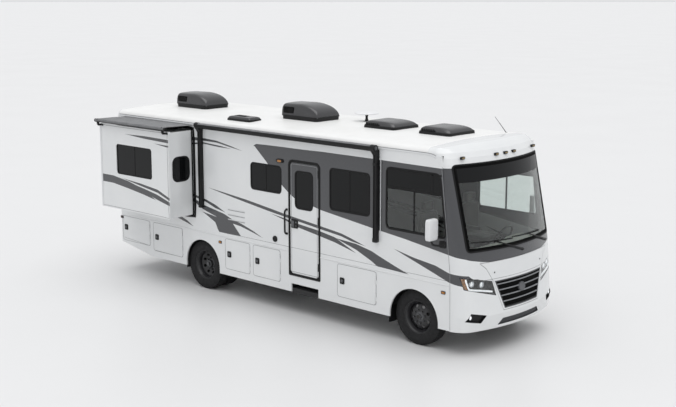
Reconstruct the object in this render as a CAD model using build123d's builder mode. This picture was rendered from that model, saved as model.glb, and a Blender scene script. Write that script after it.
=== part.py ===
"""Class A motorhome with one slide-out room, as separate pieces.

While it is modelled, X runs forward from the front axle, Y to the left from the middle of the coach and
Z up from the ground. The last lines move every piece so that the origin is the middle of the whole
coach's footprint, on the ground. All lengths are in millimetres.
"""

import os
from functools import lru_cache
from math import asin, cos, radians, sin, sqrt

from build123d import *

# Driving dimensions of the coach
wheelbase = 5283.0
rear_overhang = 2567.0
body_width = 2565.0
roof_height = 3345.0
roof_crown = 50.0
roof_edge_radius = 110.0
wall_foot = 1130.0
wall_head = 3190.0
skirt_foot = 405.0
rear_skirt_foot = 565.0
wall = 45.0
skirt_wall = 30.0
cap_wall = 30.0
rear_cap_depth = 80.0
floor_thickness = 60.0

# Clearances
seat = 0.3
door_gap = 6.0
hood_gap = 8.0
overrun = 50.0

# The front cap's outline from above and from the side
cap_nose_radius = 3200.0
cap_corner_radius = 320.0
cap_foot_x, cap_foot_z = 1205.0, 400.0
bumper_x, bumper_z = 1250.0, 640.0
grille_x, grille_z = 1215.0, 1000.0
hood_x, hood_z = 1172.0, 1500.0
cowl_x, cowl_z = 1150.0, 1650.0
brow_x, brow_z = 850.0, 3050.0
brow_steps = 5
cap_back_x = -600.0
seam_foot_x, seam_knee_x, seam_knee_z, seam_head_x = 745.0, 722.0, 1350.0, 503.0
roof_seam_x = 230.0

# Wheels and axles
tyre_radius = 472.5
tyre_width = 245.0
rim_radius = 268.0
rim_lip = 14.0
front_track_half = 1075.0
twin_outer = 1097.5
twin_inner = 787.5
kingpin_half = 880.0
kingpin_radius = 18.0
axle_tube_radius = 55.0
spindle_radius = 35.0

# Chassis
rail_half = 430.0
rail_foot = 620.0
rail_depth = 250.0
rail_flange = 80.0
rail_wall = 8.0
bearer = 50.0

# Body side features
door_width = 751.0
door_foot = 720.0
door_head = 2785.0
door_frame = 30.0
door_corner = 100.0
door_leaf = 40.0
hinge_radius = 8.0
hinge_length = 70.0
hinge_strap = 26.0
hinge_strap_thickness = 3.0
bay_leaf = 22.0
bay_corner = 45.0
bay_sheet = 6.0
bay_depth = 700.0
window_flange = 15.0
window_proud = 6.5
pane_depth = 24.0
pane_corner = 60.0

# Slide-out room
room_reach = 588.5
room_travel = 535.0
room_wall = 40.0
room_foot = 1450.0
room_head = 3085.0
room_gap = 8.0
room_trim = 18.0
seal = 60.0
topper_radius = 32.0

half_width = body_width / 2
rear_x = -wheelbase - rear_overhang
rail_head = rail_foot + rail_depth
floor_foot = wall_foot - floor_thickness
bearer_foot = floor_foot - bearer
skirt_inside = half_width - skirt_wall
wall_inside = half_width - wall


def ahead(share):
    """X of a place between the axles, as a share of the wheelbase back from the front axle."""
    return -share * wheelbase


def behind(share):
    """X of a place behind the rear axle, as a share of the rear overhang."""
    return -wheelbase - share * rear_overhang


# Places along the body, as shares of the wheelbase or of the rear overhang
door_rear_x = ahead(0.5448)
door_front_x = door_rear_x + door_width
front_arch_rear, front_arch_front = ahead(0.0985), ahead(-0.0946)
rear_arch_rear, rear_arch_front = behind(0.182), ahead(0.903)
front_arch_centre = 450.0
rear_arch_centre = 490.0

# Baggage doors: side, rear end, front end, foot at the rear, foot at the front, head
BAGGAGE_DOORS = (
    ("right_1", -1, behind(0.967), behind(0.626), 668.0, 612.0, 1115.0),
    ("right_2", -1, behind(0.577), behind(0.227), 545.0, 540.0, 1110.0),
    ("right_3", -1, ahead(0.8703), ahead(0.7439), 535.0, 535.0, 1105.0),
    ("right_4", -1, ahead(0.7246), ahead(0.5919), 535.0, 535.0, 1105.0),
    ("right_5", -1, ahead(0.3224), ahead(0.1571), 535.0, 535.0, 1105.0),
    ("left_1", 1, behind(0.577), behind(0.227), 545.0, 540.0, 1110.0),
    ("left_2", 1, ahead(0.8703), ahead(0.5919), 535.0, 535.0, 1105.0),
    ("left_3", 1, ahead(0.3224), ahead(0.1571), 535.0, 535.0, 1105.0),
)

# Storage bays behind those doors: rear end, front end, foot
BAYS = (
    (-wheelbase - rear_overhang + rear_cap_depth, behind(0.605), 610.0),
    (behind(0.595), behind(0.215), 525.0),
    (ahead(0.880), ahead(0.582), 520.0),
    (ahead(0.332), ahead(0.147), 520.0),
)

# Cabin windows: side, rear end, front end, foot, head
CABIN_WINDOWS = (
    (-1, ahead(0.7306), ahead(0.583), 2157.0, 2637.0),
    (-1, ahead(0.3559), ahead(0.1855), 2035.0, 2745.0),
    (1, behind(0.70), behind(0.26), 2140.0, 2735.0),
    (1, ahead(0.86), ahead(0.62), 2140.0, 2735.0),
    (1, ahead(0.42), ahead(0.1855), 2035.0, 2745.0),
)

# Cab side window: its corners as x, z
CAB_WINDOW = (
    (ahead(0.1155), 1895.0),
    (ahead(-0.1194), 1895.0),
    (ahead(-0.0941), 2905.0),
    (ahead(0.1155), 2905.0),
)


def box(x0, x1, y0, y1, z0, z1):
    """A box between two corners."""
    with BuildPart() as made:
        with BuildSketch(Plane.XY.offset(z0)):
            with Locations(((x0 + x1) / 2, (y0 + y1) / 2)):
                Rectangle(abs(x1 - x0), abs(y1 - y0))
        extrude(amount=z1 - z0)
    return made.part


def prism(points, y0, y1, corner=0.0, grow=0.0):
    """An outline of (x, z) points with rounded corners, from y0 to y1, grown outwards if asked."""
    with BuildPart() as made:
        with BuildSketch(Plane.XZ.offset(-y0)) as outline:
            with BuildLine():
                Polyline(*points, close=True)
            make_face()
            if grow:
                offset(amount=grow, kind=Kind.INTERSECTION)
            if corner + grow > 0:
                fillet(outline.vertices(), radius=corner + grow)
        extrude(amount=y0 - y1)
    return made.part


def facing(points, x0, x1, corner=0.0, grow=0.0):
    """An outline of (y, z) points with rounded corners, from x0 to x1, grown outwards if asked."""
    with BuildPart() as made:
        with BuildSketch(Plane.YZ.offset(x0)) as outline:
            with BuildLine():
                Polyline(*points, close=True)
            make_face()
            if grow:
                offset(amount=grow, kind=Kind.INTERSECTION)
            if corner + grow > 0:
                fillet(outline.vertices(), radius=corner + grow)
        extrude(amount=x1 - x0)
    return made.part


def oblong(x0, x1, z0, z1):
    """The four corners of an upright rectangle."""
    return ((x0, z0), (x1, z0), (x1, z1), (x0, z1))


def arched(rear, front, centre_z, y0, y1):
    """A wheel arch: a full round between its two sides, which go straight down below its centre."""
    middle = (rear + front) / 2
    with BuildPart() as made:
        with BuildSketch(Plane.XZ.offset(-y0)):
            with Locations((middle, centre_z)):
                Circle((front - rear) / 2)
            with Locations((middle, centre_z / 2)):
                Rectangle(front - rear, centre_z)
        extrude(amount=y0 - y1)
    return made.part


def rod(start, end, radius):
    """A round bar between two points."""
    with BuildPart() as made:
        path = Vector(*end) - Vector(*start)
        with BuildSketch(Plane(origin=start, z_dir=path)):
            Circle(radius)
        extrude(amount=path.length)
    return made.part


def both_sides(half):
    """A piece and its mirror image across the coach."""
    with BuildPart() as made:
        add(half)
        mirror(half, about=Plane.XZ)
    return made.part


def cap_outline(inset):
    """The front cap's middle profile as (x, z) points, this far inside its surface."""
    slope = (cowl_x - brow_x) / (brow_z - cowl_z)
    low = [
        (cap_foot_x, cap_foot_z),
        (bumper_x, bumper_z),
        (grille_x, grille_z),
        (hood_x, hood_z),
        (cowl_x, cowl_z),
        (brow_x, brow_z),
    ]
    tilt = asin(slope / sqrt(1 + slope**2))
    radius = (roof_height - brow_z) / (1 - sin(tilt))
    centre_x = brow_x - radius * cos(tilt)
    centre_z = roof_height - radius
    arc = []
    for step in range(1, brow_steps + 1):
        turn = tilt + (radians(90) - tilt) * step / brow_steps
        reach = radius - inset
        arc.append((centre_x + reach * cos(turn), centre_z + reach * sin(turn)))
    return [(x - inset, z) for x, z in low] + arc


def body_section(inset, foot):
    """The coach's rounded section across, this far inside its surface, down to a foot."""
    half = half_width - inset
    head = roof_height - inset
    with BuildSketch() as section:
        with BuildLine():
            ThreePointArc((-half, head - roof_crown), (0, head), (half, head - roof_crown))
            Polyline((half, head - roof_crown), (half, foot), (-half, foot), (-half, head - roof_crown))
        make_face()
        top = section.vertices().group_by(Axis.Y)[-1]
        fillet(top, radius=roof_edge_radius - inset)
    return section.sketch


@lru_cache
def cap_volume(inset):
    """Everything inside the front cap's surface, from behind its seam forward, this far in from it."""
    half = half_width - inset
    nose = cap_nose_radius - inset
    with BuildPart() as volume:
        for x, z in cap_outline(inset):
            side_x = x - nose + sqrt(nose**2 - half**2)
            with BuildSketch(Plane.XY.offset(z)) as plan:
                with BuildLine():
                    ThreePointArc((side_x, -half), (x, 0), (side_x, half))
                    Polyline((side_x, half), (cap_back_x, half), (cap_back_x, -half), (side_x, -half))
                make_face()
                corners = plan.vertices().group_by(Axis.X)[-1]
                fillet(corners, radius=cap_corner_radius - inset)
        loft(ruled=True)
        with BuildSketch(Plane.YZ.offset(cap_back_x)):
            add(body_section(inset, cap_foot_z))
        extrude(amount=bumper_x + overrun - cap_back_x, mode=Mode.INTERSECT)
    return volume.part


def cap_skin(outer, inner):
    """The layer of the front cap between two depths."""
    with BuildPart() as skin:
        add(outer)
        add(inner, mode=Mode.SUBTRACT)
    return skin.part


def hinge_pair(axis_x, side, z, leaf_side):
    """One side's half of an outside hinge: a barrel on the pin's line and a strap towards the leaf."""
    axis_y = side * (half_width + hinge_radius + seat)
    strap_end = axis_x + leaf_side * hinge_strap
    face = side * (half_width + seat)
    with BuildPart() as half:
        with BuildSketch(Plane.XY.offset(z)):
            with Locations((axis_x, axis_y)):
                Circle(hinge_radius)
        extrude(amount=hinge_length)
        add(box(axis_x, strap_end, side * half_width, face + side * hinge_strap_thickness,
                z, z + hinge_length))
    return half.part


def common(first, second):
    """What two solids share."""
    with BuildPart() as shared:
        add(first)
        add(second, mode=Mode.INTERSECT)
    return shared.part


def mirrored(points):
    """An outline of (y, z) points on the other side of the coach."""
    return tuple((-y, z) for y, z in points)


# The cap's surface and the inside of its wall
cap_outside = cap_volume(0.0)
cap_inside = cap_volume(cap_wall)
seam_foot = (seam_foot_x, 0.0)
seam_knee = (seam_knee_x, seam_knee_z)
seam_head = (seam_head_x, wall_head)
ahead_of_seam = (
    seam_foot,
    (bumper_x + overrun, 0.0),
    (bumper_x + overrun, roof_height + overrun),
    (roof_seam_x, roof_height + overrun),
    (roof_seam_x, wall_head),
    seam_head,
    seam_knee,
)
seam_at_foot = (
    seam_foot_x + (seam_knee_x - seam_foot_x) * wall_foot / seam_knee_z,
    wall_foot,
)

# Outlines on the cap's face, as (y, z)
WINDSHIELD = ((-1125.0, 1688.0), (1125.0, 1688.0), (1155.0, 3046.0), (-1155.0, 3046.0))
HOOD = (
    (-480.0, 690.0),
    (480.0, 690.0),
    (670.0, 1180.0),
    (800.0, 1400.0),
    (915.0, 1494.0),
    (-915.0, 1494.0),
    (-800.0, 1400.0),
    (-670.0, 1180.0),
)
GRILLE = ((-455.0, 712.0), (455.0, 712.0), (645.0, 1181.0), (-645.0, 1181.0))
HEADLAMP = ((-1235.0, 1300.0), (-1200.0, 1100.0), (-628.0, 945.0), (-700.0, 1190.0))
FOG_LAMP = ((-1120.0, 715.0), (-1200.0, 585.0), (-850.0, 515.0), (-710.0, 625.0))
INTAKE = ((-581.0, 447.0), (581.0, 447.0), (480.0, 550.0), (-480.0, 550.0))
glass = 8.0
hood_skin = 12.0
lamp_depth = 25.0

with BuildPart() as front_cap:
    add(cap_skin(cap_outside, cap_inside))
    add(prism(ahead_of_seam, half_width + overrun, -half_width - overrun), mode=Mode.INTERSECT)
    add(facing(WINDSHIELD, 0.0, bumper_x + overrun, pane_corner), mode=Mode.SUBTRACT)
    add(facing(HOOD, 0.0, bumper_x + overrun, grow=hood_gap), mode=Mode.SUBTRACT)
    add(facing(INTAKE, 0.0, bumper_x + overrun), mode=Mode.SUBTRACT)
    for lamp in (HEADLAMP, FOG_LAMP):
        add(facing(lamp, 0.0, bumper_x + overrun), mode=Mode.SUBTRACT)
        add(facing(mirrored(lamp), 0.0, bumper_x + overrun), mode=Mode.SUBTRACT)

# Hood hinge: an inside pin held from the cap and a bent arm that passes under the cap's edge
hood_pin_back, hood_pin_rise = 67.0, 100.0
hood_axis_x, hood_axis_z = hood_x - hood_pin_back, hood_z + hood_pin_rise
hood_arm_y = 200.0
hood_arm = 14.0
hood_pin = 6.0
hood_lug_rise = 30.0
hood_arm_knee = (-120.0, -100.0)
hood_arm_end = (62.0, -150.0)
with BuildPart() as hood_pins:
    for y in (-hood_arm_y, hood_arm_y):
        pin_right, pin_left = y - hood_arm * 2, y + hood_arm * 2
        add(rod((hood_axis_x, pin_right, hood_axis_z), (hood_axis_x, pin_left, hood_axis_z), hood_pin))
        for end in (y - hood_arm * 2, y + hood_arm):
            lug = box(hood_axis_x - hood_pin, hood_x, end, end + hood_arm,
                      hood_axis_z - hood_pin, hood_axis_z + hood_lug_rise)
            add(common(lug, cap_inside))
with front_cap:
    add(hood_pins.part)

with BuildPart() as windshield:
    add(cap_skin(cap_volume(glass / 2), cap_volume(hood_skin)))
    add(facing(WINDSHIELD, 0.0, bumper_x + overrun, pane_corner), mode=Mode.INTERSECT)

cap_under_hood = cap_volume(hood_skin)
with BuildPart() as hood:
    add(cap_skin(cap_outside, cap_under_hood))
    add(facing(HOOD, 0.0, bumper_x + overrun), mode=Mode.INTERSECT)
    add(facing(GRILLE, 0.0, bumper_x + overrun), mode=Mode.SUBTRACT)
    for y in (-hood_arm_y, hood_arm_y):
        arm_route = (
            (hood_axis_x, hood_axis_z),
            (hood_axis_x + hood_arm_knee[0], hood_axis_z + hood_arm_knee[1]),
            (hood_axis_x + hood_arm_end[0], hood_axis_z + hood_arm_end[1]),
        )
        with BuildPart(mode=Mode.PRIVATE) as arm:
            with BuildSketch(Plane.XZ.offset(-y - hood_arm / 2)):
                with BuildLine():
                    Polyline(*arm_route)
                trace(line_width=hood_arm)
                with Locations(arm_route[0]):
                    Circle(hood_pin * 1.8)
                    Circle(hood_pin + seat, mode=Mode.SUBTRACT)
            extrude(amount=hood_arm)
        add(common(arm.part, cap_under_hood))

# Grille: a sheet with a frame, bars and a plain disc raised on it
grille_foot, grille_head = GRILLE[0][1], GRILLE[2][1]
grille_frame = 24.0
grille_bar = 28.0
grille_bar_shares = (0.235, 0.444, 0.654, 0.877)
badge_share, badge_radius = 0.62, 66.0
with BuildPart() as grille_face:
    add(facing(GRILLE, 0.0, bumper_x + overrun))
    add(facing(GRILLE, 0.0, bumper_x + overrun, grow=-grille_frame), mode=Mode.SUBTRACT)
    for share in grille_bar_shares:
        bar_z = grille_foot + share * (grille_head - grille_foot)
        bar = ((-half_width, bar_z - grille_bar / 2), (half_width, bar_z - grille_bar / 2),
               (half_width, bar_z + grille_bar / 2), (-half_width, bar_z + grille_bar / 2))
        add(common(facing(bar, 0.0, bumper_x + overrun), facing(GRILLE, 0.0, bumper_x + overrun)))
    badge_z = grille_foot + badge_share * (grille_head - grille_foot)
    add(rod((0.0, 0.0, badge_z), (bumper_x + overrun, 0.0, badge_z), badge_radius))
with BuildPart() as grille:
    add(cap_skin(cap_under_hood, cap_volume(lamp_depth)))
    add(facing(GRILLE, 0.0, bumper_x + overrun), mode=Mode.INTERSECT)
    add(common(grille_face.part, cap_skin(cap_volume(glass / 2), cap_under_hood)))

with BuildPart() as headlamps:
    add(cap_skin(cap_volume(glass / 2), cap_volume(lamp_depth)))
    with BuildPart(mode=Mode.PRIVATE) as outlines:
        for lamp in (HEADLAMP, FOG_LAMP, mirrored(HEADLAMP), mirrored(FOG_LAMP)):
            add(facing(lamp, 0.0, bumper_x + overrun))
        add(facing(INTAKE, 0.0, bumper_x + overrun))
    add(outlines.part, mode=Mode.INTERSECT)


# Body sides
door_outline = oblong(door_rear_x, door_front_x, door_foot, door_head)
leaf_outline = oblong(
    door_rear_x + door_frame, door_front_x - door_frame, door_foot + door_frame, door_head - door_frame
)
step_rear_inset, step_front_inset = 42.0, 36.0
step_rear_x, step_front_x = door_rear_x + step_rear_inset, door_front_x - step_front_inset
step_notch_head = 560.0
skirt_rear_x = rear_x + rear_cap_depth
skirt_rise_x = behind(0.595)
arches = (
    (front_arch_rear, front_arch_front, front_arch_centre),
    (rear_arch_rear, rear_arch_front, rear_arch_centre),
)
room_rear_x, room_front_x = behind(0.897), behind(0.08)
room_pad_shares = (0.15, 0.5, 0.85)


def wall_half(side):
    """One side wall above the floor with its window openings."""
    face = side * half_width
    inside = side * wall_inside
    with BuildPart() as made:
        add(prism((
            (skirt_rear_x, wall_foot), seam_at_foot, seam_knee, seam_head, (skirt_rear_x, wall_head),
        ), max(face, inside), min(face, inside)))
        near, far = max(0.0, side * (half_width + overrun)), min(0.0, side * (half_width + overrun))
        for window_side, rear, front, foot, head in CABIN_WINDOWS:
            if window_side == side:
                add(prism(oblong(rear, front, foot, head), near, far, pane_corner), mode=Mode.SUBTRACT)
        add(prism(CAB_WINDOW, near, far, pane_corner), mode=Mode.SUBTRACT)
    return made.part


def window_unit(outline, side, corner):
    """A framed pane that fills its opening, with a flange on the wall's outer face."""
    face = side * half_width
    proud = face + side * window_proud
    inner = face - side * pane_depth
    with BuildPart() as made:
        add(prism(outline, max(face, inner), min(face, inner), corner))
        add(prism(outline, max(face, proud), min(face, proud), corner, grow=window_flange))
    return made.part


def skirt_half(side):
    """One lower side panel with its arches, doorway, step notch and baggage door openings."""
    face, inside = side * half_width, side * skirt_inside
    wide, deep = side * (half_width + overrun), 0.0
    with BuildPart() as made:
        add(prism((
            (skirt_rear_x, rear_skirt_foot), (skirt_rise_x, skirt_foot), (seam_foot_x, skirt_foot),
            seam_at_foot, (skirt_rear_x, wall_foot),
        ), max(face, inside), min(face, inside)))
        add(prism(ahead_of_seam, max(wide, deep), min(wide, deep)), mode=Mode.SUBTRACT)
        for rear, front, centre_z in arches:
            add(arched(rear, front, centre_z, max(wide, deep), min(wide, deep)), mode=Mode.SUBTRACT)
        if side < 0:
            add(prism(door_outline, 0.0, wide, door_corner), mode=Mode.SUBTRACT)
            notch = oblong(step_rear_x, step_front_x, 0.0, step_notch_head)
            add(prism(notch, 0.0, wide), mode=Mode.SUBTRACT)
        for name, door_side, rear, front, foot_rear, foot_front, head in BAGGAGE_DOORS:
            if door_side == side:
                outline = ((rear, foot_rear), (front, foot_front), (front, head), (rear, head))
                add(prism(outline, max(wide, deep), min(wide, deep), bay_corner, door_gap),
                    mode=Mode.SUBTRACT)
                for z in hinge_heights(foot_front, head):
                    add(hinge_pair(front + door_gap / 2, side, z, 1))
    return made.part


def hinge_heights(foot, head):
    """Where a door's two fixed hinge barrels start."""
    return (foot + hinge_length, head - 3 * hinge_length)


with BuildPart() as right_wall:
    add(wall_half(-1))
    add(prism(door_outline, 0.0, -half_width - overrun, door_corner), mode=Mode.SUBTRACT)
    add(prism(oblong(room_rear_x, room_front_x, room_foot, room_head), 0.0, -half_width - overrun,
              grow=room_gap), mode=Mode.SUBTRACT)
    for share in room_pad_shares:
        x = room_rear_x + share * (room_front_x - room_rear_x)
        add(box(x - hinge_strap, x + hinge_strap, -half_width, -wall_inside,
                room_foot - room_gap, room_foot - seat))
with BuildPart() as left_wall:
    add(wall_half(1))
with BuildPart() as right_skirt:
    add(skirt_half(-1))
with BuildPart() as left_skirt:
    add(skirt_half(1))

with BuildPart() as cabin_windows:
    for side, rear, front, foot, head in CABIN_WINDOWS:
        add(window_unit(oblong(rear, front, foot, head), side, pane_corner))
with BuildPart() as cab_windows:
    for side in (-1, 1):
        add(window_unit(CAB_WINDOW, side, pane_corner))

# Roof shell between the rear cap and the front cap
with BuildPart() as roof:
    with BuildSketch(Plane.YZ.offset(skirt_rear_x)):
        add(body_section(0.0, wall_head))
        add(body_section(wall, wall_head - overrun), mode=Mode.SUBTRACT)
    extrude(amount=roof_seam_x - skirt_rear_x)

# Rear cap: a shallow pan with rounded edges
rear_corner = 60.0
REAR_WINDOW = ((-520.0, 2080.0), (520.0, 2080.0), (520.0, 2640.0), (-520.0, 2640.0))
TAIL_LAMP = ((-1210.0, 900.0), (-1060.0, 900.0), (-1060.0, 1420.0), (-1210.0, 1420.0))
with BuildPart() as rear_cap:
    with BuildSketch(Plane.YZ.offset(rear_x)):
        add(body_section(0.0, rear_skirt_foot))
    extrude(amount=rear_cap_depth)
    back = rear_cap.faces().sort_by(Axis.X)[0]
    fillet(back.edges().filter_by(lambda e: e.center().Z > rear_skirt_foot + wall), radius=rear_corner)
    with BuildSketch(Plane.YZ.offset(skirt_rear_x)):
        add(body_section(wall, rear_skirt_foot + wall))
    extrude(amount=wall - rear_cap_depth, mode=Mode.SUBTRACT)
    add(facing(REAR_WINDOW, rear_x - overrun, skirt_rear_x, pane_corner), mode=Mode.SUBTRACT)
    for lamp in (TAIL_LAMP, mirrored(TAIL_LAMP)):
        add(facing(lamp, rear_x - overrun, rear_x + lamp_depth, lamp_depth), mode=Mode.SUBTRACT)
with cabin_windows:
    add(facing(REAR_WINDOW, rear_x - window_proud, rear_x + pane_depth, pane_corner))
with BuildPart() as body_lamps:
    for lamp in (TAIL_LAMP, mirrored(TAIL_LAMP)):
        add(facing(lamp, rear_x - window_proud, rear_x + lamp_depth, lamp_depth))

# Clearance lamps on the brow and on the rear cap
lamp_z = 3149.0
lamp_half, lamp_rise, lamp_reach = 45.0, 18.0, 30.0
LAMP_PLACES = ((0.0, 832.0), (240.0, 823.0), (-240.0, 823.0), (974.0, 701.0), (-974.0, 701.0))
rear_lamp_shares = (-0.7, -0.35, 0.0, 0.35, 0.7)
with BuildPart() as marker_domes:
    for y, x in LAMP_PLACES:
        with BuildSketch(Plane.XY.offset(lamp_z - lamp_rise)):
            with Locations((x, y)):
                SlotOverall(lamp_half * 2, lamp_reach * 2, rotation=90)
        extrude(amount=lamp_rise * 2)
    add(cap_outside, mode=Mode.SUBTRACT)
with body_lamps:
    add(marker_domes.part)
    for y in (share * half_width for share in rear_lamp_shares):
        add(box(rear_x - lamp_rise, rear_x, y - lamp_half, y + lamp_half,
                lamp_z - lamp_rise, lamp_z + lamp_rise))

# Baggage doors
latch_inset = 110.0
latch_half, latch_rise = 50.0, 55.0
baggage_doors = {}
for name, side, rear, front, foot_rear, foot_front, head in BAGGAGE_DOORS:
    face, inner = side * half_width, side * (half_width - bay_leaf)
    latch_x = rear + latch_inset
    latch_z = (foot_rear + head) / 2
    with BuildPart() as leaf:
        outline = ((rear, foot_rear), (front, foot_front), (front, head), (rear, head))
        add(prism(outline, max(face, inner), min(face, inner), bay_corner))
        for z in hinge_heights(foot_front, head):
            add(hinge_pair(front + door_gap / 2, side, z + hinge_length + seat, -1))
        plate = oblong(latch_x - latch_half, latch_x + latch_half, latch_z - latch_rise, latch_z + latch_rise)
        add(prism(plate, max(face, face + side * window_proud), min(face, face + side * window_proud)))
    baggage_doors["baggage_door_" + name] = leaf

# Entry door with its frame, window, hinges and latch
entry_window_inset, entry_window_width = 158.0, 422.0
entry_window_foot, entry_window_head = 1945.0, 2606.0
entry_latch_inset, entry_latch_width = 58.0, 160.0
entry_latch_foot, entry_latch_head = 1583.0, 1732.0
entry_window_rear_x = door_rear_x + entry_window_inset
entry_latch_rear_x = door_rear_x + entry_latch_inset
ENTRY_WINDOW = oblong(entry_window_rear_x, entry_window_rear_x + entry_window_width,
                      entry_window_foot, entry_window_head)
ENTRY_LATCH = oblong(entry_latch_rear_x, entry_latch_rear_x + entry_latch_width,
                     entry_latch_foot, entry_latch_head)
right_face = -half_width
entry_hinge_shares = (0.08, 0.48, 0.88)
ENTRY_HINGES = tuple(door_foot + share * (door_head - door_foot) for share in entry_hinge_shares)
entry_axis_x = door_front_x - door_frame - door_gap / 2
with BuildPart() as entry_door_frame:
    add(prism(door_outline, -skirt_inside, right_face, door_corner))
    add(prism(leaf_outline, 0.0, right_face - overrun, door_corner - door_frame, door_gap / 2),
        mode=Mode.SUBTRACT)
    for z in ENTRY_HINGES:
        add(hinge_pair(entry_axis_x + door_gap / 2, -1, z, 1))
with BuildPart() as entry_door:
    add(prism(leaf_outline, right_face + door_leaf, right_face, door_corner - door_frame, -door_gap / 2))
    add(prism(ENTRY_WINDOW, 0.0, right_face - overrun, pane_corner), mode=Mode.SUBTRACT)
    for z in ENTRY_HINGES:
        add(hinge_pair(entry_axis_x + door_gap / 2, -1, z + hinge_length + seat, -1))
    add(prism(ENTRY_LATCH, right_face, right_face - window_proud * 2))
with BuildPart() as entry_door_window:
    add(window_unit(ENTRY_WINDOW, -1, pane_corner))

# Floor with the stairwell behind the entry door
stair_depth = 520.0
stair_foot = 700.0
stair_sheet = 20.0
floor_front_x = 950.0
step_foot = 432.0
step_hanger, step_hanger_gap = 6.0, 6.0
step_runner, step_runner_foot = 24.0, 420.0
with BuildPart() as cabin_floor:
    add(box(skirt_rear_x, seam_foot_x - overrun, -skirt_inside, skirt_inside, floor_foot, wall_foot))
    add(common(box(0.0, floor_front_x, -half_width, half_width, floor_foot, wall_foot), cap_inside))
    add(box(door_rear_x, door_front_x, -half_width, -half_width + stair_depth, 0.0, wall_foot),
        mode=Mode.SUBTRACT)
with BuildPart() as entry_stairs:
    back_y = -half_width + stair_depth
    front_y = -skirt_inside
    add(box(door_rear_x, door_front_x, front_y, back_y, stair_foot, wall_foot))
    inner_rear, inner_front = door_rear_x + stair_sheet, door_front_x - stair_sheet
    lower = stair_foot + stair_sheet
    tread = (lower + wall_foot) / 2
    add(box(inner_rear, inner_front, front_y, back_y - stair_depth / 2, lower, wall_foot),
        mode=Mode.SUBTRACT)
    add(box(inner_rear, inner_front, front_y, back_y - stair_sheet, tread, wall_foot), mode=Mode.SUBTRACT)
    for x in (step_rear_x - step_hanger_gap - step_hanger, step_front_x + step_hanger_gap):
        add(box(x, x + step_hanger, front_y, back_y, step_runner_foot, stair_foot))
    for rear, front in (
        (step_rear_x - step_hanger_gap, step_rear_x + step_runner),
        (step_front_x - step_runner, step_front_x + step_hanger_gap),
    ):
        add(box(rear, front, front_y, back_y, step_runner_foot, step_foot))
step_thickness = 40.0
step_depth = 300.0
with BuildPart() as entry_step:
    add(box(step_rear_x, step_front_x, -skirt_inside, -skirt_inside + step_depth,
            step_foot + seat, step_foot + step_thickness))

# Slide-out room
room_overlap = 136.0
room_outer = -half_width - room_reach
room_inner = room_outer + room_travel + room_overlap
room_rim = 40.0
ROOM_WINDOW = oblong(behind(0.704), behind(0.2715), 2140.0, 2735.0)
room_shape = oblong(room_rear_x, room_front_x, room_foot, room_head)
end_window_outer, end_window_inner = room_outer + 96.0, -half_width - 82.5
end_window_foot, end_window_head, end_window_corner = 2140.0, 2600.0, 125.0
END_WINDOW = (
    (end_window_outer, end_window_foot), (end_window_inner, end_window_foot),
    (end_window_inner, end_window_head), (end_window_outer, end_window_head),
)
with BuildPart() as slide_room:
    add(prism(room_shape, room_inner, room_outer))
    add(prism(room_shape, room_outer + room_rim, room_outer - room_trim, grow=room_trim))
    add(prism(room_shape, room_inner + overrun, room_outer + room_wall, grow=-room_wall), mode=Mode.SUBTRACT)
    add(prism(ROOM_WINDOW, room_inner, room_outer - overrun, pane_corner), mode=Mode.SUBTRACT)
    add(facing(END_WINDOW, room_front_x - room_wall - overrun, room_front_x + overrun, end_window_corner),
        mode=Mode.SUBTRACT)
with BuildPart() as slide_windows:
    room_face = room_outer - room_trim
    add(prism(ROOM_WINDOW, room_outer + pane_depth, room_face, pane_corner))
    add(prism(ROOM_WINDOW, room_face, room_face - window_proud, pane_corner, grow=window_flange))
    add(facing(END_WINDOW, room_front_x - pane_depth, room_front_x + window_proud, end_window_corner))
seal_depth = 8.0
with BuildPart() as slide_seal:
    add(prism(room_shape, -half_width, -half_width - seal_depth, grow=room_gap + seal))
    add(prism(room_shape, 0.0, -half_width - overrun, grow=room_gap), mode=Mode.SUBTRACT)

# Topper awning: a roller on brackets along the room's outer edge, with its cloth up to the coach wall
topper_reach = 80.0
topper_y = room_outer - room_trim - topper_reach
topper_z = 3163.0
topper_rear_x, topper_front_x = behind(0.915), behind(0.06)
bracket_half, bracket_inset = 20.0, 40.0
bracket_foot, bracket_head = topper_z - 110.0, topper_z - 20.0
cloth_inset = 30.0
cloth_thickness = 3.0
cloth_wall_foot, cloth_wall_head = topper_z + 14.0, topper_z + 18.0
with BuildPart() as topper_roller:
    add(rod((topper_rear_x, topper_y, topper_z), (topper_front_x, topper_y, topper_z), topper_radius))
    for x in (room_rear_x + bracket_inset, room_front_x - bracket_inset):
        add(box(x - bracket_half, x + bracket_half, topper_y, room_outer - room_trim,
                bracket_foot, bracket_head))
with BuildPart() as topper_fabric:
    cloth = (
        (-half_width, cloth_wall_foot), (topper_y, topper_z + topper_radius + seat),
        (topper_y, topper_z + topper_radius + cloth_thickness), (-half_width, cloth_wall_head),
    )
    with BuildSketch(Plane.YZ.offset(topper_rear_x + cloth_inset)):
        with BuildLine():
            Polyline(*cloth, close=True)
        make_face()
    extrude(amount=topper_front_x - topper_rear_x - 2 * cloth_inset)

# Patio awning: roller between two arms on the wall
awning_radius = 55.0
awning_z = 3206.0
awning_rail = 40.0
awning_y = -half_width - awning_rail - awning_radius
awning_arm = 50.0
awning_foot = 1660.0
AWNING_ARMS = (ahead(1.0), ahead(0.165))
with BuildPart() as awning:
    add(rod((AWNING_ARMS[0] + awning_arm / 2 + seat, awning_y, awning_z),
            (AWNING_ARMS[1] - awning_arm / 2 - seat, awning_y, awning_z), awning_radius))
    for x in AWNING_ARMS:
        rear, front = x - awning_arm / 2, x + awning_arm / 2
        add(box(rear, front, -half_width - awning_rail, -half_width, awning_foot, awning_z - awning_radius))
        add(box(rear, front, awning_y - awning_radius / 2, -half_width, awning_z - awning_radius, awning_z))

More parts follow.
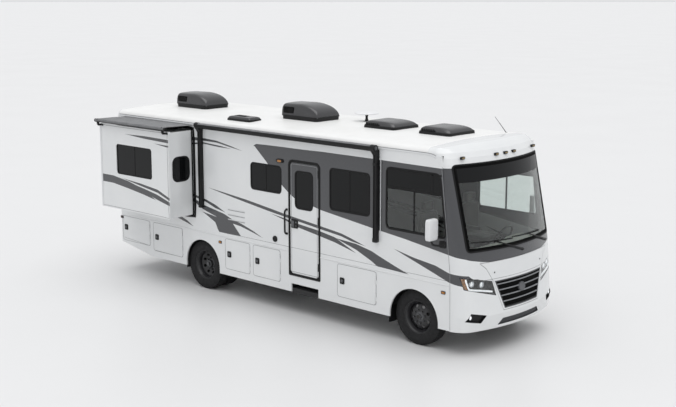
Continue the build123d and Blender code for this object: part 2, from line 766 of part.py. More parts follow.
# Air conditioners and vent lids on the roof: rear end, front end, right side, left side, head, corner
roof_rest = roof_height - 8.0
AIR_CONDITIONERS = (
    (behind(0.786), behind(0.377), -350.0, 350.0, 3690.0, 90.0),
    (ahead(0.805), ahead(0.611), -350.0, 350.0, 3665.0, 90.0),
)
VENT_LIDS = (
    (ahead(0.386), ahead(0.250), -270.0, 430.0, 3457.0, 80.0),
    (ahead(0.151), ahead(0.021), -262.0, 470.0, 3457.0, 80.0),
)
SKYLIGHT = (ahead(0.911), ahead(0.788), -1030.0, -680.0, 3397.0, 60.0)
lid_taper = 8.0
nose_length_share, nose_head_share = 0.34, 0.35
mast_x, mast_y = ahead(0.49), 450.0
mast_radius, mast_head = 35.0, roof_rest + 140.0
disc_radius, disc_head = 235.0, roof_rest + 180.0


def roof_lid(rear, front, right, left, head, corner):
    """A tapered block with rounded corners that stands on the roof."""
    with BuildPart() as made:
        with BuildSketch(Plane.XY.offset(roof_rest - overrun)):
            with Locations(((rear + front) / 2, (right + left) / 2)):
                RectangleRounded(front - rear, left - right, corner)
        extrude(amount=head - roof_rest + overrun, taper=lid_taper)
    return made.part


def shroud(rear, front, right, left, head, corner):
    """A roof lid whose top bends down to a low nose at the front."""
    bend_x = front - (front - rear) * nose_length_share
    nose_z = roof_rest + (head - roof_rest) * nose_head_share
    with BuildPart() as profile:
        with BuildSketch(Plane.XZ.offset(-left - overrun)):
            with BuildLine():
                Polyline((bend_x, head), (rear, head), (rear, roof_rest - overrun),
                         (front, roof_rest - overrun), (front, nose_z))
                TangentArc((bend_x, head), (front, nose_z), tangent=(1, 0))
            make_face()
        extrude(amount=left - right + 2 * overrun)
    return common(roof_lid(rear, front, right, left, head, corner), profile.part)


with BuildPart() as under_roof:
    with BuildSketch(Plane.YZ.offset(rear_x)):
        add(body_section(0.0, wall_head))
    extrude(amount=-rear_x)
with BuildPart() as roof_air_conditioners:
    for unit in AIR_CONDITIONERS:
        add(shroud(*unit))
    add(under_roof.part, mode=Mode.SUBTRACT)
with BuildPart() as roof_vents:
    for lid in VENT_LIDS:
        add(shroud(*lid))
    add(roof_lid(*SKYLIGHT))
    add(rod((mast_x, mast_y, roof_rest - overrun), (mast_x, mast_y, mast_head), mast_radius))
    add(rod((mast_x, mast_y, mast_head), (mast_x, mast_y, disc_head), disc_radius))
    add(under_roof.part, mode=Mode.SUBTRACT)

# Mirrors: a housing on a bent arm from a foot on the wall
mirror_rear_x, mirror_front_x = 430.0, 515.0
mirror_outer, mirror_inner = -1550.0, -1350.0
mirror_foot_z, mirror_head_z = 1880.0, 2205.0
mirror_arm = 16.0
MIRROR_ARM = ((560.0, -half_width - 10.0, 1790.0), (480.0, -1440.0, 1840.0), (475.0, -1450.0, 1890.0))
mirror_mount = (500.0, 640.0)
mirror_mount_foot, mirror_mount_head, mirror_mount_reach = 1730.0, 1860.0, 12.0
with BuildPart() as mirror_half:
    add(box(mirror_rear_x, mirror_front_x, mirror_outer, mirror_inner, mirror_foot_z, mirror_head_z))
    for start, end in zip(MIRROR_ARM, MIRROR_ARM[1:]):
        add(rod(start, end, mirror_arm))
    add(box(*mirror_mount, -half_width - mirror_mount_reach, -half_width,
            mirror_mount_foot, mirror_mount_head))
    add(prism(ahead_of_seam, 0.0, -wall_inside), mode=Mode.SUBTRACT)
with BuildPart() as mirrors:
    add(both_sides(mirror_half.part))

# Wipers on the cap's face: pivot's y and z, blade middle's y and z
WIPERS = ((68.0, 1590.0, -600.0, 1822.0), (939.0, 1593.0, 260.0, 1815.0))
wiper_arm_half = 10.0
blade_half_length, blade_half, blade_tilt = 440.0, 12.5, 10.0
wiper_lift = 25.0
wiper_layer = cap_skin(cap_volume(-wiper_lift), cap_volume(-seat))
with BuildPart() as wipers:
    for pivot_y, pivot_z, blade_y, blade_z in WIPERS:
        arm = ((pivot_y, pivot_z - wiper_arm_half), (pivot_y, pivot_z + wiper_arm_half),
               (blade_y, blade_z + wiper_arm_half), (blade_y, blade_z - wiper_arm_half))
        right_y, left_y = blade_y - blade_half_length, blade_y + blade_half_length
        blade = ((right_y, blade_z + blade_tilt - blade_half), (right_y, blade_z + blade_tilt + blade_half),
                 (left_y, blade_z + blade_half), (left_y, blade_z - blade_half))
        for outline in (arm, blade):
            add(common(facing(outline, 0.0, bumper_x + overrun), wiper_layer))

# Cab inside: dashboard with steering wheel, and seats
DASHBOARD = (
    (700.0, wall_foot), (900.0, wall_foot), (930.0, 1600.0),
    (760.0, 1640.0), (600.0, 1580.0), (600.0, 1420.0),
)
dashboard_half = 1200.0
column_foot, column_head = (640.0, 560.0, 1500.0), (430.0, 560.0, 1610.0)
column_radius = 22.0
wheel_radius, wheel_ring, wheel_hub, wheel_spoke, wheel_depth = 225.0, 30.0, 60.0, 40.0, 25.0
with BuildPart() as dashboard:
    add(common(prism(DASHBOARD, dashboard_half, -dashboard_half), cap_volume(cap_wall + overrun)))
    add(rod(column_foot, column_head, column_radius))
    with BuildSketch(Plane(origin=column_head, z_dir=Vector(*column_head) - Vector(*column_foot))):
        Circle(wheel_radius)
        Circle(wheel_radius - wheel_ring, mode=Mode.SUBTRACT)
        Rectangle(2 * (wheel_radius - wheel_ring / 2), wheel_spoke)
        Circle(wheel_hub)
    extrude(amount=wheel_depth)
SEAT_HALF = (
    (-260.0, 240.0, -830.0, -330.0, 330.0, 470.0),
    (-380.0, -240.0, -830.0, -330.0, 330.0, 1150.0),
    (-200.0, 180.0, -700.0, -460.0, 0.0, 330.0),
)
with BuildPart() as seat_half:
    for rear, front, outer, inner, foot, head in SEAT_HALF:
        add(box(rear, front, outer, inner, wall_foot + foot, wall_foot + head))
with BuildPart() as cab_seats:
    add(both_sides(seat_half.part))

# Chassis: rails, crossmembers and the floor's bearers
rail_rear_x, rail_front_x = rear_x + rear_cap_depth, 980.0
crossmember_depth = 80.0
front_bearer_inset = 100.0
CROSSMEMBERS = tuple(behind(share) for share in (0.93, 0.62, 0.30)) + tuple(
    ahead(share) for share in (0.88, 0.72, 0.56, 0.39, 0.26))
FRONT_BEARERS = (ahead(0.095), ahead(-0.12))


def bearer_posts(x):
    """The two posts that carry a floor bearer over the rails."""
    with BuildPart() as posts:
        add(box(x - bearer / 2, x + bearer / 2, rail_half - rail_flange, rail_half,
                rail_head + seat, bearer_foot))
    return both_sides(posts.part)


with BuildPart() as chassis_frame:
    for side in (-1, 1):
        outer, web = side * (rail_half + rail_wall), side * rail_half
        inner = side * (rail_half - rail_flange)
        add(box(rail_rear_x, rail_front_x, outer, inner, rail_foot, rail_head))
        add(box(rail_rear_x, rail_front_x, web, inner, rail_foot + rail_wall, rail_head - rail_wall),
            mode=Mode.SUBTRACT)
    for x in CROSSMEMBERS:
        rear, front = x - bearer / 2, x + bearer / 2
        add(box(rear, front, -rail_half, rail_half, rail_head - crossmember_depth, rail_head - rail_wall))
        add(box(rear, front, -wall_inside, wall_inside, bearer_foot, floor_foot))
        add(bearer_posts(x))
    for x in FRONT_BEARERS:
        reach = wall_inside - front_bearer_inset
        add(box(x - bearer / 2, x + bearer / 2, -reach, reach, bearer_foot, floor_foot))
        add(bearer_posts(x))

# Springs and their hangers on the frame
spring_y = 515.0
spring_width = 70.0
spring_half = 700.0
spring_seat = 556.0
leaf = 12.0
leaf_shares = (1.0, 0.8, 0.55)
eye_radius = 30.0
eye_z = 664.0
spring_rise = eye_z - 2 * leaf - spring_seat
hanger_half = 40.0
hanger_depth = 90.0
axle_z = tyre_radius
AXLES_X = (0.0, -wheelbase)


def spring_leaf(axle_x, half, low, y0):
    """One bent leaf that lies at its lowest under the axle and rises to both ends."""
    sag = spring_rise * (half / spring_half) ** 2
    rear, front, end_foot, end_head = axle_x - half, axle_x + half, low + sag, low + sag + leaf
    with BuildPart() as made:
        with BuildSketch(Plane.XZ.offset(-y0)):
            with BuildLine():
                ThreePointArc((rear, end_foot), (axle_x, low), (front, end_foot))
                Line((front, end_foot), (front, end_head))
                ThreePointArc((front, end_head), (axle_x, low + leaf), (rear, end_head))
                Line((rear, end_head), (rear, end_foot))
            make_face()
        extrude(amount=spring_width)
    return made.part


with BuildPart() as leaf_springs:
    for axle_x in AXLES_X:
        for side in (-1, 1):
            y0 = side * spring_y + spring_width / 2
            with BuildPart(mode=Mode.PRIVATE) as spring:
                for index, share in enumerate(reversed(leaf_shares)):
                    add(spring_leaf(axle_x, spring_half * share, spring_seat + index * leaf, y0))
                for x in (axle_x - spring_half, axle_x + spring_half):
                    add(rod((x, y0, eye_z), (x, y0 - spring_width, eye_z), eye_radius))
            add(spring.part)
hanger_foot = eye_z + eye_radius + seat
with chassis_frame:
    for axle_x in AXLES_X:
        for x in (axle_x - spring_half, axle_x + spring_half):
            for side in (-1, 1):
                reach = side * (spring_y + spring_width / 2)
                add(box(x - hanger_half, x + hanger_half, side * rail_half, reach,
                        hanger_foot, hanger_foot + hanger_depth))

# Axles: an I-beam with kingpins in front, a banjo housing behind
beam_half = 40.0
beam_rise = 40.0
# Front beam: half width at each bend, height of the foot and of the head over the axle line
FRONT_BEAM = ((kingpin_half, -beam_rise, beam_rise), (640.0, -80.0, 0.0), (380.0, -110.0, -20.0))
boss = 40.0
boss_half = 59.0
kingpin_reach = 95.0
perch_half, perch_width_half, perch_depth = 60.0, 45.0, 30.0
tube_end = twin_outer - 90.0
banjo_radius, banjo_rear, banjo_front = 190.0, 110.0, 130.0
beam_left = tuple((y, axle_z + foot) for y, foot, head in reversed(FRONT_BEAM)) + tuple(
    (y, axle_z + head) for y, foot, head in FRONT_BEAM)
beam_right = tuple((-y, axle_z + head) for y, foot, head in reversed(FRONT_BEAM)) + tuple(
    (-y, axle_z + foot) for y, foot, head in FRONT_BEAM)
with BuildPart() as axles:
    add(facing(beam_left + beam_right, -beam_half, beam_half))
    for side in (-1, 1):
        kingpin_y, perch_y = side * kingpin_half, side * spring_y
        near, far = perch_y - perch_width_half, perch_y + perch_width_half
        for half, radius in ((boss_half, boss), (kingpin_reach, kingpin_radius)):
            add(rod((0.0, kingpin_y, axle_z - half), (0.0, kingpin_y, axle_z + half), radius))
        add(box(-perch_half, perch_half, near, far, axle_z - perch_depth, spring_seat - seat))
        add(box(-wheelbase - perch_half, -wheelbase + perch_half, near, far, axle_z, spring_seat - seat))
    add(rod((-wheelbase, -tube_end, axle_z), (-wheelbase, tube_end, axle_z), axle_tube_radius))
    add(rod((-wheelbase - banjo_rear, 0.0, axle_z), (-wheelbase + banjo_front, 0.0, axle_z), banjo_radius))

# Steering knuckles
ear = 30.0
ear_margin = 5.0
web_near, web_far = 52.0, 72.0
web_half = 35.0
spindle_reach = 95.0
knuckles = {}
for name, side in (("right", -1), ("left", 1)):
    pivot = side * kingpin_half
    low_ear, high_ear = axle_z - boss_half - seat - ear, axle_z + boss_half + seat
    with BuildPart() as knuckle:
        for low in (low_ear, high_ear):
            add(rod((0.0, pivot, low), (0.0, pivot, low + ear), boss + ear_margin))
            add(box(-web_half, web_half, pivot, pivot + side * web_far, low, low + ear))
        near, far = pivot + side * web_near, pivot + side * web_far
        add(box(-web_half, web_half, near, far, low_ear, high_ear + ear))
        bore_foot, bore_head = low_ear - overrun, high_ear + ear + overrun
        add(rod((0.0, pivot, bore_foot), (0.0, pivot, bore_head), kingpin_radius + seat), mode=Mode.SUBTRACT)
        spindle_end = side * (front_track_half + spindle_reach)
        add(rod((0.0, near, axle_z), (0.0, spindle_end, axle_z), spindle_radius))
    knuckles["knuckle_" + name] = knuckle

# Tyres and rims
bead_half_share = 0.79
bead_rise_share = 1.2
# Tyre section: half width and height over the bead as shares, from the sidewall to the tread
TYRE_SECTION = ((1.0, 0.4), (1.0, 0.62), (0.8, 1.0))
rim_barrel, rim_disc_offset, rim_disc_half = 12.0, 45.0, 6.0
hand_hole_ring, hand_hole_radius, hand_holes = 180.0, 30.0, 8
hub_flange_radius = 95.0
front_hub_near, front_hub_far = 960.0, 1185.0
front_cap_near, front_cap_far, front_cap_radius = 1172.0, 1190.0, 80.0
rear_hub_near, rear_hub_far = 720.0, twin_outer - 85.0
rear_cap_near, rear_cap_far, rear_cap_radius = twin_outer - 89.0, twin_outer - 40.0, 95.0


def tyre_at(y):
    """A tyre around the wheel centre line at this y, as a revolved section."""
    half = tyre_width / 2
    bead = rim_radius + seat
    foot = bead_half_share * half
    flank = [(half * across, bead + share * (tyre_radius - bead)) for across, share in TYRE_SECTION]
    one_side = [(foot, bead), (foot, bead + bead_rise_share * rim_lip)] + flank
    section = one_side + [(-u, r) for u, r in reversed(one_side)]
    with BuildPart() as made:
        with BuildSketch(Plane.XY):
            with BuildLine():
                Polyline(*((r, u + y) for u, r in section), close=True)
            make_face()
        revolve(axis=Axis.Y)
    return made.part.moved(Location((0.0, 0.0, axle_z)))


def rim_at(y, face, bore, hub_inner, hub_outer):
    """A rim with its disc on the face side, hand holes, and a hub from one y to another."""
    half = tyre_width / 2 * bead_half_share
    disc = y + face * rim_disc_offset
    inside, flange = rim_radius - rim_barrel, rim_radius + rim_lip
    with BuildPart() as made:
        with BuildSketch(Plane.XY):
            with BuildLine():
                Polyline(
                    (inside, y - half - rim_barrel), (flange, y - half - rim_barrel),
                    (flange, y - half - seat), (rim_radius, y - half - seat),
                    (rim_radius, y + half + seat), (flange, y + half + seat),
                    (flange, y + half + rim_barrel), (inside, y + half + rim_barrel), close=True)
            make_face()
            with BuildLine():
                Polyline((bore, disc - rim_disc_half), (rim_radius, disc - rim_disc_half),
                         (rim_radius, disc + rim_disc_half), (bore, disc + rim_disc_half), close=True)
            make_face()
        revolve(axis=Axis.Y)
        with BuildSketch(Plane.XZ.offset(-disc - 2 * rim_disc_half)):
            with PolarLocations(hand_hole_ring, hand_holes):
                Circle(hand_hole_radius)
        extrude(amount=4 * rim_disc_half, mode=Mode.SUBTRACT)
        low, high = min(hub_inner, hub_outer), max(hub_inner, hub_outer)
        with BuildSketch(Plane.XZ.offset(-low)):
            Circle(hub_flange_radius)
            Circle(bore, mode=Mode.SUBTRACT)
        extrude(amount=low - high)
    return made.part.moved(Location((0.0, 0.0, axle_z)))


wheels = {}
to_rear_axle = Location((-wheelbase, 0.0, 0.0))
for name, side in (("right", -1), ("left", 1)):
    with BuildPart() as tyre:
        add(tyre_at(side * front_track_half))
    with BuildPart() as rim:
        add(rim_at(side * front_track_half, side, spindle_radius + seat,
                   side * front_hub_near, side * front_hub_far))
        near, far = side * front_cap_near, side * front_cap_far
        add(rod((0.0, near, axle_z), (0.0, far, axle_z), front_cap_radius))
    wheels["tyre_front_" + name] = tyre
    wheels["rim_front_" + name] = rim
    with BuildPart() as tyres:
        for y in (twin_inner, twin_outer):
            add(tyre_at(side * y).moved(to_rear_axle))
    with BuildPart() as rims:
        for y, face in ((twin_inner, 1), (twin_outer, -1)):
            twin = rim_at(side * y, side * face, axle_tube_radius + seat,
                          side * rear_hub_near, side * rear_hub_far)
            add(twin.moved(to_rear_axle))
        near, far = side * rear_cap_near, side * rear_cap_far
        add(rod((-wheelbase, near, axle_z), (-wheelbase, far, axle_z), rear_cap_radius))
    wheels["tyres_rear_" + name] = tyres
    wheels["rims_rear_" + name] = rims

# Wheel wells and the mud flaps in them: rear end, front end, inner side, flap's inner side, flap's outer side
well_sheet = 8.0
well_corner = 150.0
well_foot, flap_foot, flap_head = 520.0, 345.0, 900.0
WELLS = (
    (-608.0, 608.0, 560.0, 940.0, 1220.0),
    (rear_arch_rear - overrun, rear_arch_front + overrun, 620.0, 660.0, 1240.0),
)
with BuildPart() as well_half:
    for rear, front, inner, flap_inner, flap_outer in WELLS:
        lining = oblong(rear + well_sheet, front - well_sheet, 0.0, bearer_foot - well_sheet)
        add(prism(oblong(rear, front, 0.0, bearer_foot), -inner, -skirt_inside, well_corner))
        add(prism(lining, -inner, -skirt_inside, well_corner - well_sheet), mode=Mode.SUBTRACT)
    add(box(rear_x, seam_foot_x, -half_width, 0.0, 0.0, well_foot), mode=Mode.SUBTRACT)
    for rear, front, inner, flap_inner, flap_outer in WELLS:
        add(box(rear + well_sheet, rear + 2 * well_sheet, -flap_outer, -flap_inner, flap_foot, flap_head))
with BuildPart() as wheel_wells:
    add(both_sides(well_half.part))

# Storage bays: five sheets each behind the baggage doors
with BuildPart() as storage_bays:
    for rear, front, foot in BAYS:
        for side in (-1, 1):
            if side > 0 and rear < behind(0.9):
                continue
            outer, inner = side * skirt_inside, side * (skirt_inside - bay_depth)
            back = inner + side * bay_sheet
            head = bearer_foot - bay_sheet
            add(box(rear, front, outer, inner, foot - bay_sheet, foot))
            add(box(rear, front, outer, inner, head, bearer_foot))
            add(box(rear, front, inner, back, foot + seat, head - seat))
            for end in (rear, front - bay_sheet):
                add(box(end, end + bay_sheet, outer, back + side * seat, foot + seat, head - seat))

# Engine block with mounts, transmission, driveshaft, tanks and exhaust
engine_rear_x, engine_front_x = -300.0, 800.0
engine_half, engine_foot, engine_head = 330.0, 560.0, 1020.0
ENGINE_MOUNTS = (-200.0, 620.0)
mount_length, mount_half, mount_foot, mount_head = 60.0, 350.0, 700.0, 760.0
gearbox_rear_x, gearbox_z, gearbox_radius = -900.0, 640.0, 150.0
shaft_z, shaft_radius = 540.0, 45.0
tank_head = rail_head - crossmember_depth
# Tanks: rear end, front end, right side, left side, foot
TANKS = (
    (behind(0.86), behind(0.34), -230.0, 330.0, 480.0),
    (ahead(0.80), ahead(0.44), -330.0, 330.0, 690.0),
)
pipe_radius, pipe_y, pipe_front_x = 38.0, -390.0, -320.0
muffler_radius = 80.0
pipe_z, muffler_z = rail_foot - seat - pipe_radius, rail_foot - seat - muffler_radius
with BuildPart() as engine:
    add(box(engine_rear_x, engine_front_x, -engine_half, engine_half, engine_foot, engine_head))
    for x in ENGINE_MOUNTS:
        add(box(x, x + mount_length, -mount_half, mount_half, mount_foot, mount_head))
    add(rod((gearbox_rear_x, 0.0, gearbox_z), (engine_rear_x, 0.0, gearbox_z), gearbox_radius))
with BuildPart() as driveshaft:
    shaft_front_x, shaft_rear_x = gearbox_rear_x - seat, -wheelbase + banjo_front + seat
    add(rod((shaft_front_x, 0.0, shaft_z), (shaft_rear_x, 0.0, shaft_z), shaft_radius))
with BuildPart() as tanks:
    for rear, front, right, left, foot in TANKS:
        add(box(rear, front, right, left, foot, tank_head))
with BuildPart() as exhaust:
    add(rod((pipe_front_x, pipe_y, pipe_z), (behind(0.86), pipe_y, pipe_z), pipe_radius))
    add(rod((ahead(0.50), pipe_y, muffler_z), (ahead(0.38), pipe_y, muffler_z), muffler_radius))

# Hitch receiver behind the frame
receiver, receiver_bore = 63.5, 51.0
receiver_tail, receiver_length, receiver_socket = 40.0, 300.0, 240.0
receiver_z = 520.0
pin_radius, pin_inset = 8.2, 60.0
receiver_plate_rear, receiver_plate_front = 180.0, 240.0
with BuildPart() as hitch_receiver:
    tail = rear_x - receiver_tail
    half, bore = receiver / 2, receiver_bore / 2
    pin_x = tail + pin_inset
    add(box(tail, tail + receiver_length, -half, half, receiver_z - half, receiver_z + half))
    add(box(tail, tail + receiver_socket, -bore, bore, receiver_z - bore, receiver_z + bore),
        mode=Mode.SUBTRACT)
    add(rod((pin_x, -receiver, receiver_z), (pin_x, receiver, receiver_z), pin_radius), mode=Mode.SUBTRACT)
    add(box(rear_x + receiver_plate_rear, rear_x + receiver_plate_front, -rail_half, rail_half,
            receiver_z + half, rail_foot))

# Rear ladder on the left half of the rear cap
ladder_x = rear_x - 70.0
ladder_right, ladder_left = 760.0, 1060.0
ladder_foot, ladder_head = 1500.0, roof_height - 60.0
ladder_rail, ladder_standoff, ladder_rung = 14.0, 10.0, 12.0
LADDER_STANDOFFS = (1560.0, 2450.0, 3180.0)
first_rung, rung_pitch, rungs = 1620.0, 290.0, 6
with rear_cap:
    for y in (ladder_right, ladder_left):
        add(rod((ladder_x, y, ladder_foot), (ladder_x, y, ladder_head), ladder_rail))
        for z in LADDER_STANDOFFS:
            add(rod((ladder_x, y, z), (rear_x, y, z), ladder_standoff))
    for rung in range(rungs):
        z = first_rung + rung * rung_pitch
        add(rod((ladder_x, ladder_right, z), (ladder_x, ladder_left, z), ladder_rung))

# Every piece by its node's name, moved so that the coach stands on the middle of its footprint
pieces = {
    "chassis_frame": chassis_frame,
    "hitch_receiver": hitch_receiver,
    "cabin_floor": cabin_floor,
    "entry_stairs": entry_stairs,
    "entry_step": entry_step,
    "right_wall": right_wall,
    "left_wall": left_wall,
    "roof": roof,
    "front_cap": front_cap,
    "rear_cap": rear_cap,
    "right_skirt": right_skirt,
    "left_skirt": left_skirt,
    "windshield": windshield,
    "cab_windows": cab_windows,
    "cabin_windows": cabin_windows,
    "entry_door_frame": entry_door_frame,
    "entry_door": entry_door,
    "entry_door_window": entry_door_window,
    "slide_room": slide_room,
    "slide_windows": slide_windows,
    "slide_seal": slide_seal,
    "topper_roller": topper_roller,
    "topper_fabric": topper_fabric,
    "awning": awning,
    "roof_air_conditioners": roof_air_conditioners,
    "roof_vents": roof_vents,
    "headlamps": headlamps,
    "body_lamps": body_lamps,
    "mirrors": mirrors,
    "wipers": wipers,
    "hood": hood,
    "grille": grille,
    "dashboard": dashboard,
    "cab_seats": cab_seats,
    "engine": engine,
    "driveshaft": driveshaft,
    "tanks": tanks,
    "exhaust": exhaust,
    "axles": axles,
    "leaf_springs": leaf_springs,
    "wheel_wells": wheel_wells,
    "storage_bays": storage_bays,
    **baggage_doors,
    **knuckles,
    **wheels,
}
whole = Compound(children=[piece.part.moved(Location()) for piece in pieces.values()]).bounding_box()
middle = Location((-(whole.min.X + whole.max.X) / 2, -(whole.min.Y + whole.max.Y) / 2, 0.0))
os.makedirs("parts", exist_ok=True)
for name, piece in pieces.items():
    placed = piece.part.moved(middle)
    placed.label = name
    export_step(placed, f"parts/{name}.step")
print(len(pieces), "pieces, moved by", middle.position)
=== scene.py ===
"""The motorhome's looks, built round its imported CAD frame.

Places are in metres from the front axle on the ground: X forward, Y to the coach's left, Z up.
ORIGIN carries them to the frame's own place. Every new piece is a surface worked out with numpy.
"""

import math

import bmesh
import bpy
import numpy as np
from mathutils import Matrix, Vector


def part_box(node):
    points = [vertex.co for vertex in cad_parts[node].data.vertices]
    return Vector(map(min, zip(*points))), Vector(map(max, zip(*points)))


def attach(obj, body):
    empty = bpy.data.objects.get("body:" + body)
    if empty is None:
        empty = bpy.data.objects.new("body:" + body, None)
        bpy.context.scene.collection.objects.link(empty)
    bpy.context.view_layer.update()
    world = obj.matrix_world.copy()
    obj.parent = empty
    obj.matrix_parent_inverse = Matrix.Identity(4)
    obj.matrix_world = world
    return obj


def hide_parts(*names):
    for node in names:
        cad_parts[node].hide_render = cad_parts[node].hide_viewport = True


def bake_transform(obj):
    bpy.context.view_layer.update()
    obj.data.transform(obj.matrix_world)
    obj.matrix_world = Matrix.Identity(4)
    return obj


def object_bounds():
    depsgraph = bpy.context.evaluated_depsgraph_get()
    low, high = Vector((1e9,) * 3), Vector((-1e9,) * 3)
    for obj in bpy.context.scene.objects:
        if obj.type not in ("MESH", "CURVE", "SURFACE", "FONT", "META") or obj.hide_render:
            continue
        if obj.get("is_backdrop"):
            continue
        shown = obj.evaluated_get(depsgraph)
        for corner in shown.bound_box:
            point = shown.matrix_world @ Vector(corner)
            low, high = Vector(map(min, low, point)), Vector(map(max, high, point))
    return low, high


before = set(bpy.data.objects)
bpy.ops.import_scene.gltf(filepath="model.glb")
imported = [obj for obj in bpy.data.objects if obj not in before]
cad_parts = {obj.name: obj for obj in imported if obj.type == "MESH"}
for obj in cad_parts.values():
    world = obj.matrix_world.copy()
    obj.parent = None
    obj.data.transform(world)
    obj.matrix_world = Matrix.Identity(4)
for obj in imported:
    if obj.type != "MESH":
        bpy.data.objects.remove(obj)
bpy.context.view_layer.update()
tyre_low, tyre_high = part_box("tyre_front_right")
roof_low, roof_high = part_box("roof")
ORIGIN = np.array([(tyre_low[0] + tyre_high[0]) / 2, (roof_low[1] + roof_high[1]) / 2, 0.0])

# Sizes that the pieces share with the frame: the walls stand HALF_WIDTH from the middle, the rear cap ends
# at REAR_X, and the slide-out room's face is ROOM_FACE from the middle when the room is out.
HALF_WIDTH = 1.2825
WHEELBASE = 5.283
REAR_X = -7.85
ROOF_HEIGHT = 3.345
ROOM_FACE = 1.871
# The front cap's middle line as (height, X), the radius of its nose in plan, and that of its corners
CAP_PROFILE = np.array([(0.40, 1.205), (0.64, 1.25), (1.00, 1.215), (1.50, 1.172), (1.65, 1.150), (3.05, 0.850)])
NOSE_RADIUS, CAP_CORNER = 3.2, 0.32


# Surfaces

def grid(points, round_rows=False, round_columns=False):
    """A sheet of quads over a table of points, where each quad joins neighbouring rows and columns."""
    points = np.asarray(points, float)
    rows, columns = points.shape[:2]
    row, column = np.meshgrid(np.arange(rows if round_rows else rows - 1),
                              np.arange(columns if round_columns else columns - 1), indexing="ij")
    next_row, next_column = (row + 1) % rows, (column + 1) % columns
    faces = np.stack([row * columns + column, row * columns + next_column,
                      next_row * columns + next_column, next_row * columns + column], axis=-1)
    return points.reshape(-1, 3), faces.reshape(-1, 4).tolist()


def smoothed(points, count):
    """A smooth curve through points: each run is a cubic whose ends point along the neighbours' chord."""
    points = np.asarray(points, float)
    padded = np.concatenate([2 * points[:1] - points[1:2], points, 2 * points[-1:] - points[-2:-1]])
    t = np.linspace(0, len(points) - 1, count)
    run = np.minimum(t.astype(int), len(points) - 2)
    u = (t - run)[:, None]
    a, b, c, d = (padded[run + k] for k in range(4))
    return 0.5 * (2 * b + (c - a) * u + (2 * a - 5 * b + 4 * c - d) * u**2 + (3 * b - a - 3 * c + d) * u**3)


def turned(profile, centre, axis="y", steps=48):
    """A profile of (radius, along) points turned a full circle about an axis through a centre."""
    radius, along = np.asarray(profile, float).T
    turn = np.arange(steps) * 2 * np.pi / steps
    across, up = np.outer(np.cos(turn), radius), np.outer(np.sin(turn), radius)
    along = np.broadcast_to(along, across.shape)
    order = {"y": (across, along, up), "x": (along, across, up), "z": (across, up, along)}[axis]
    return grid(np.stack(order, axis=-1) + np.asarray(centre, float), round_rows=True)


def block(low, high, edge=0.3, rows=16, columns=32):
    """A rounded block: a ball whose sines and cosines are raised to a small power, stretched between two corners."""
    low, high = np.asarray(low, float), np.asarray(high, float)
    u = np.linspace(-np.pi / 2, np.pi / 2, rows + 1)[:, None]
    v = (np.arange(columns) * 2 * np.pi / columns)[None, :]

    def power(wave):
        return np.sign(wave) * np.abs(wave) ** edge

    ball = np.stack([power(np.cos(u)) * power(np.cos(v)), power(np.cos(u)) * power(np.sin(v)),
                     power(np.sin(u)) * np.ones_like(v)], axis=-1)
    return grid((low + high) / 2 + ball * (high - low) / 2, round_columns=True)


def along_path(path, section, up=(0, 0, 1), closed=False, ends=True):
    """A section of (side, up) points carried along a path, square to it, with its ends drawn to a point."""
    path, section = np.asarray(path, float), np.asarray(section, float)
    if closed:
        tangent = np.roll(path, -1, axis=0) - np.roll(path, 1, axis=0)
    else:
        tangent = np.gradient(path, axis=0)
    tangent /= np.linalg.norm(tangent, axis=1, keepdims=True)
    side = np.cross(tangent, np.asarray(up, float))
    side /= np.linalg.norm(side, axis=1, keepdims=True)
    rise = np.cross(side, tangent)
    if section.ndim == 2:
        section = np.broadcast_to(section, (len(path),) + section.shape)
    rows = path[:, None] + side[:, None] * section[..., :1] + rise[:, None] * section[..., 1:]
    if ends and not closed:
        rows = np.concatenate([np.broadcast_to(rows[:1].mean(axis=1, keepdims=True), rows[:1].shape), rows,
                               np.broadcast_to(rows[-1:].mean(axis=1, keepdims=True), rows[-1:].shape)])
    return grid(rows, round_rows=closed, round_columns=True)


def ring_section(radius, sides=12, flat=1.0):
    """A round or flattened section for along_path."""
    turn = np.arange(sides) * 2 * np.pi / sides
    return np.stack([radius * np.cos(turn), radius * flat * np.sin(turn)], axis=-1)


def tube(path, radius, sides=12, up=(0, 0, 1)):
    """A round bar along a path."""
    return along_path(path, ring_section(radius, sides), up)


def box_section(side, rise, corner=0.004):
    """A rectangular section with cut corners for along_path."""
    a, b = side / 2, rise / 2
    return np.array([(a - corner, -b), (a, -b + corner), (a, b - corner), (a - corner, b),
                     (-a + corner, b), (-a, b - corner), (-a, -b + corner), (-a + corner, -b)])


def rounded(corners, radius, steps=6):
    """A closed flat outline whose corners are swapped for short curves that start a radius from each corner."""
    corners = np.asarray(corners, float)
    radius = np.broadcast_to(np.asarray(radius, float), (len(corners),))[:, None]

    def towards(other):
        way = other - corners
        length = np.linalg.norm(way, axis=1, keepdims=True)
        return corners + way / length * np.minimum(radius, length * 0.49)

    before, after = towards(np.roll(corners, 1, axis=0)), towards(np.roll(corners, -1, axis=0))
    t = np.linspace(0, 1, steps)[None, :, None]
    curve = (1 - t)**2 * before[:, None] + 2 * t * (1 - t) * corners[:, None] + t**2 * after[:, None]
    return curve.reshape(-1, 2)


def evened(outline, spacing=0.04):
    """The same closed outline with points added so that none are further apart than the spacing."""
    outline = np.asarray(outline, float)
    following = np.roll(outline, -1, axis=0)
    gaps = np.linalg.norm(following - outline, axis=1)
    pieces = np.maximum(1, np.ceil(gaps / spacing).astype(int))
    start = np.repeat(np.arange(len(outline)), pieces)
    share = np.concatenate([np.arange(n) / n for n in pieces])[:, None]
    return outline[start] * (1 - share) + following[start] * share


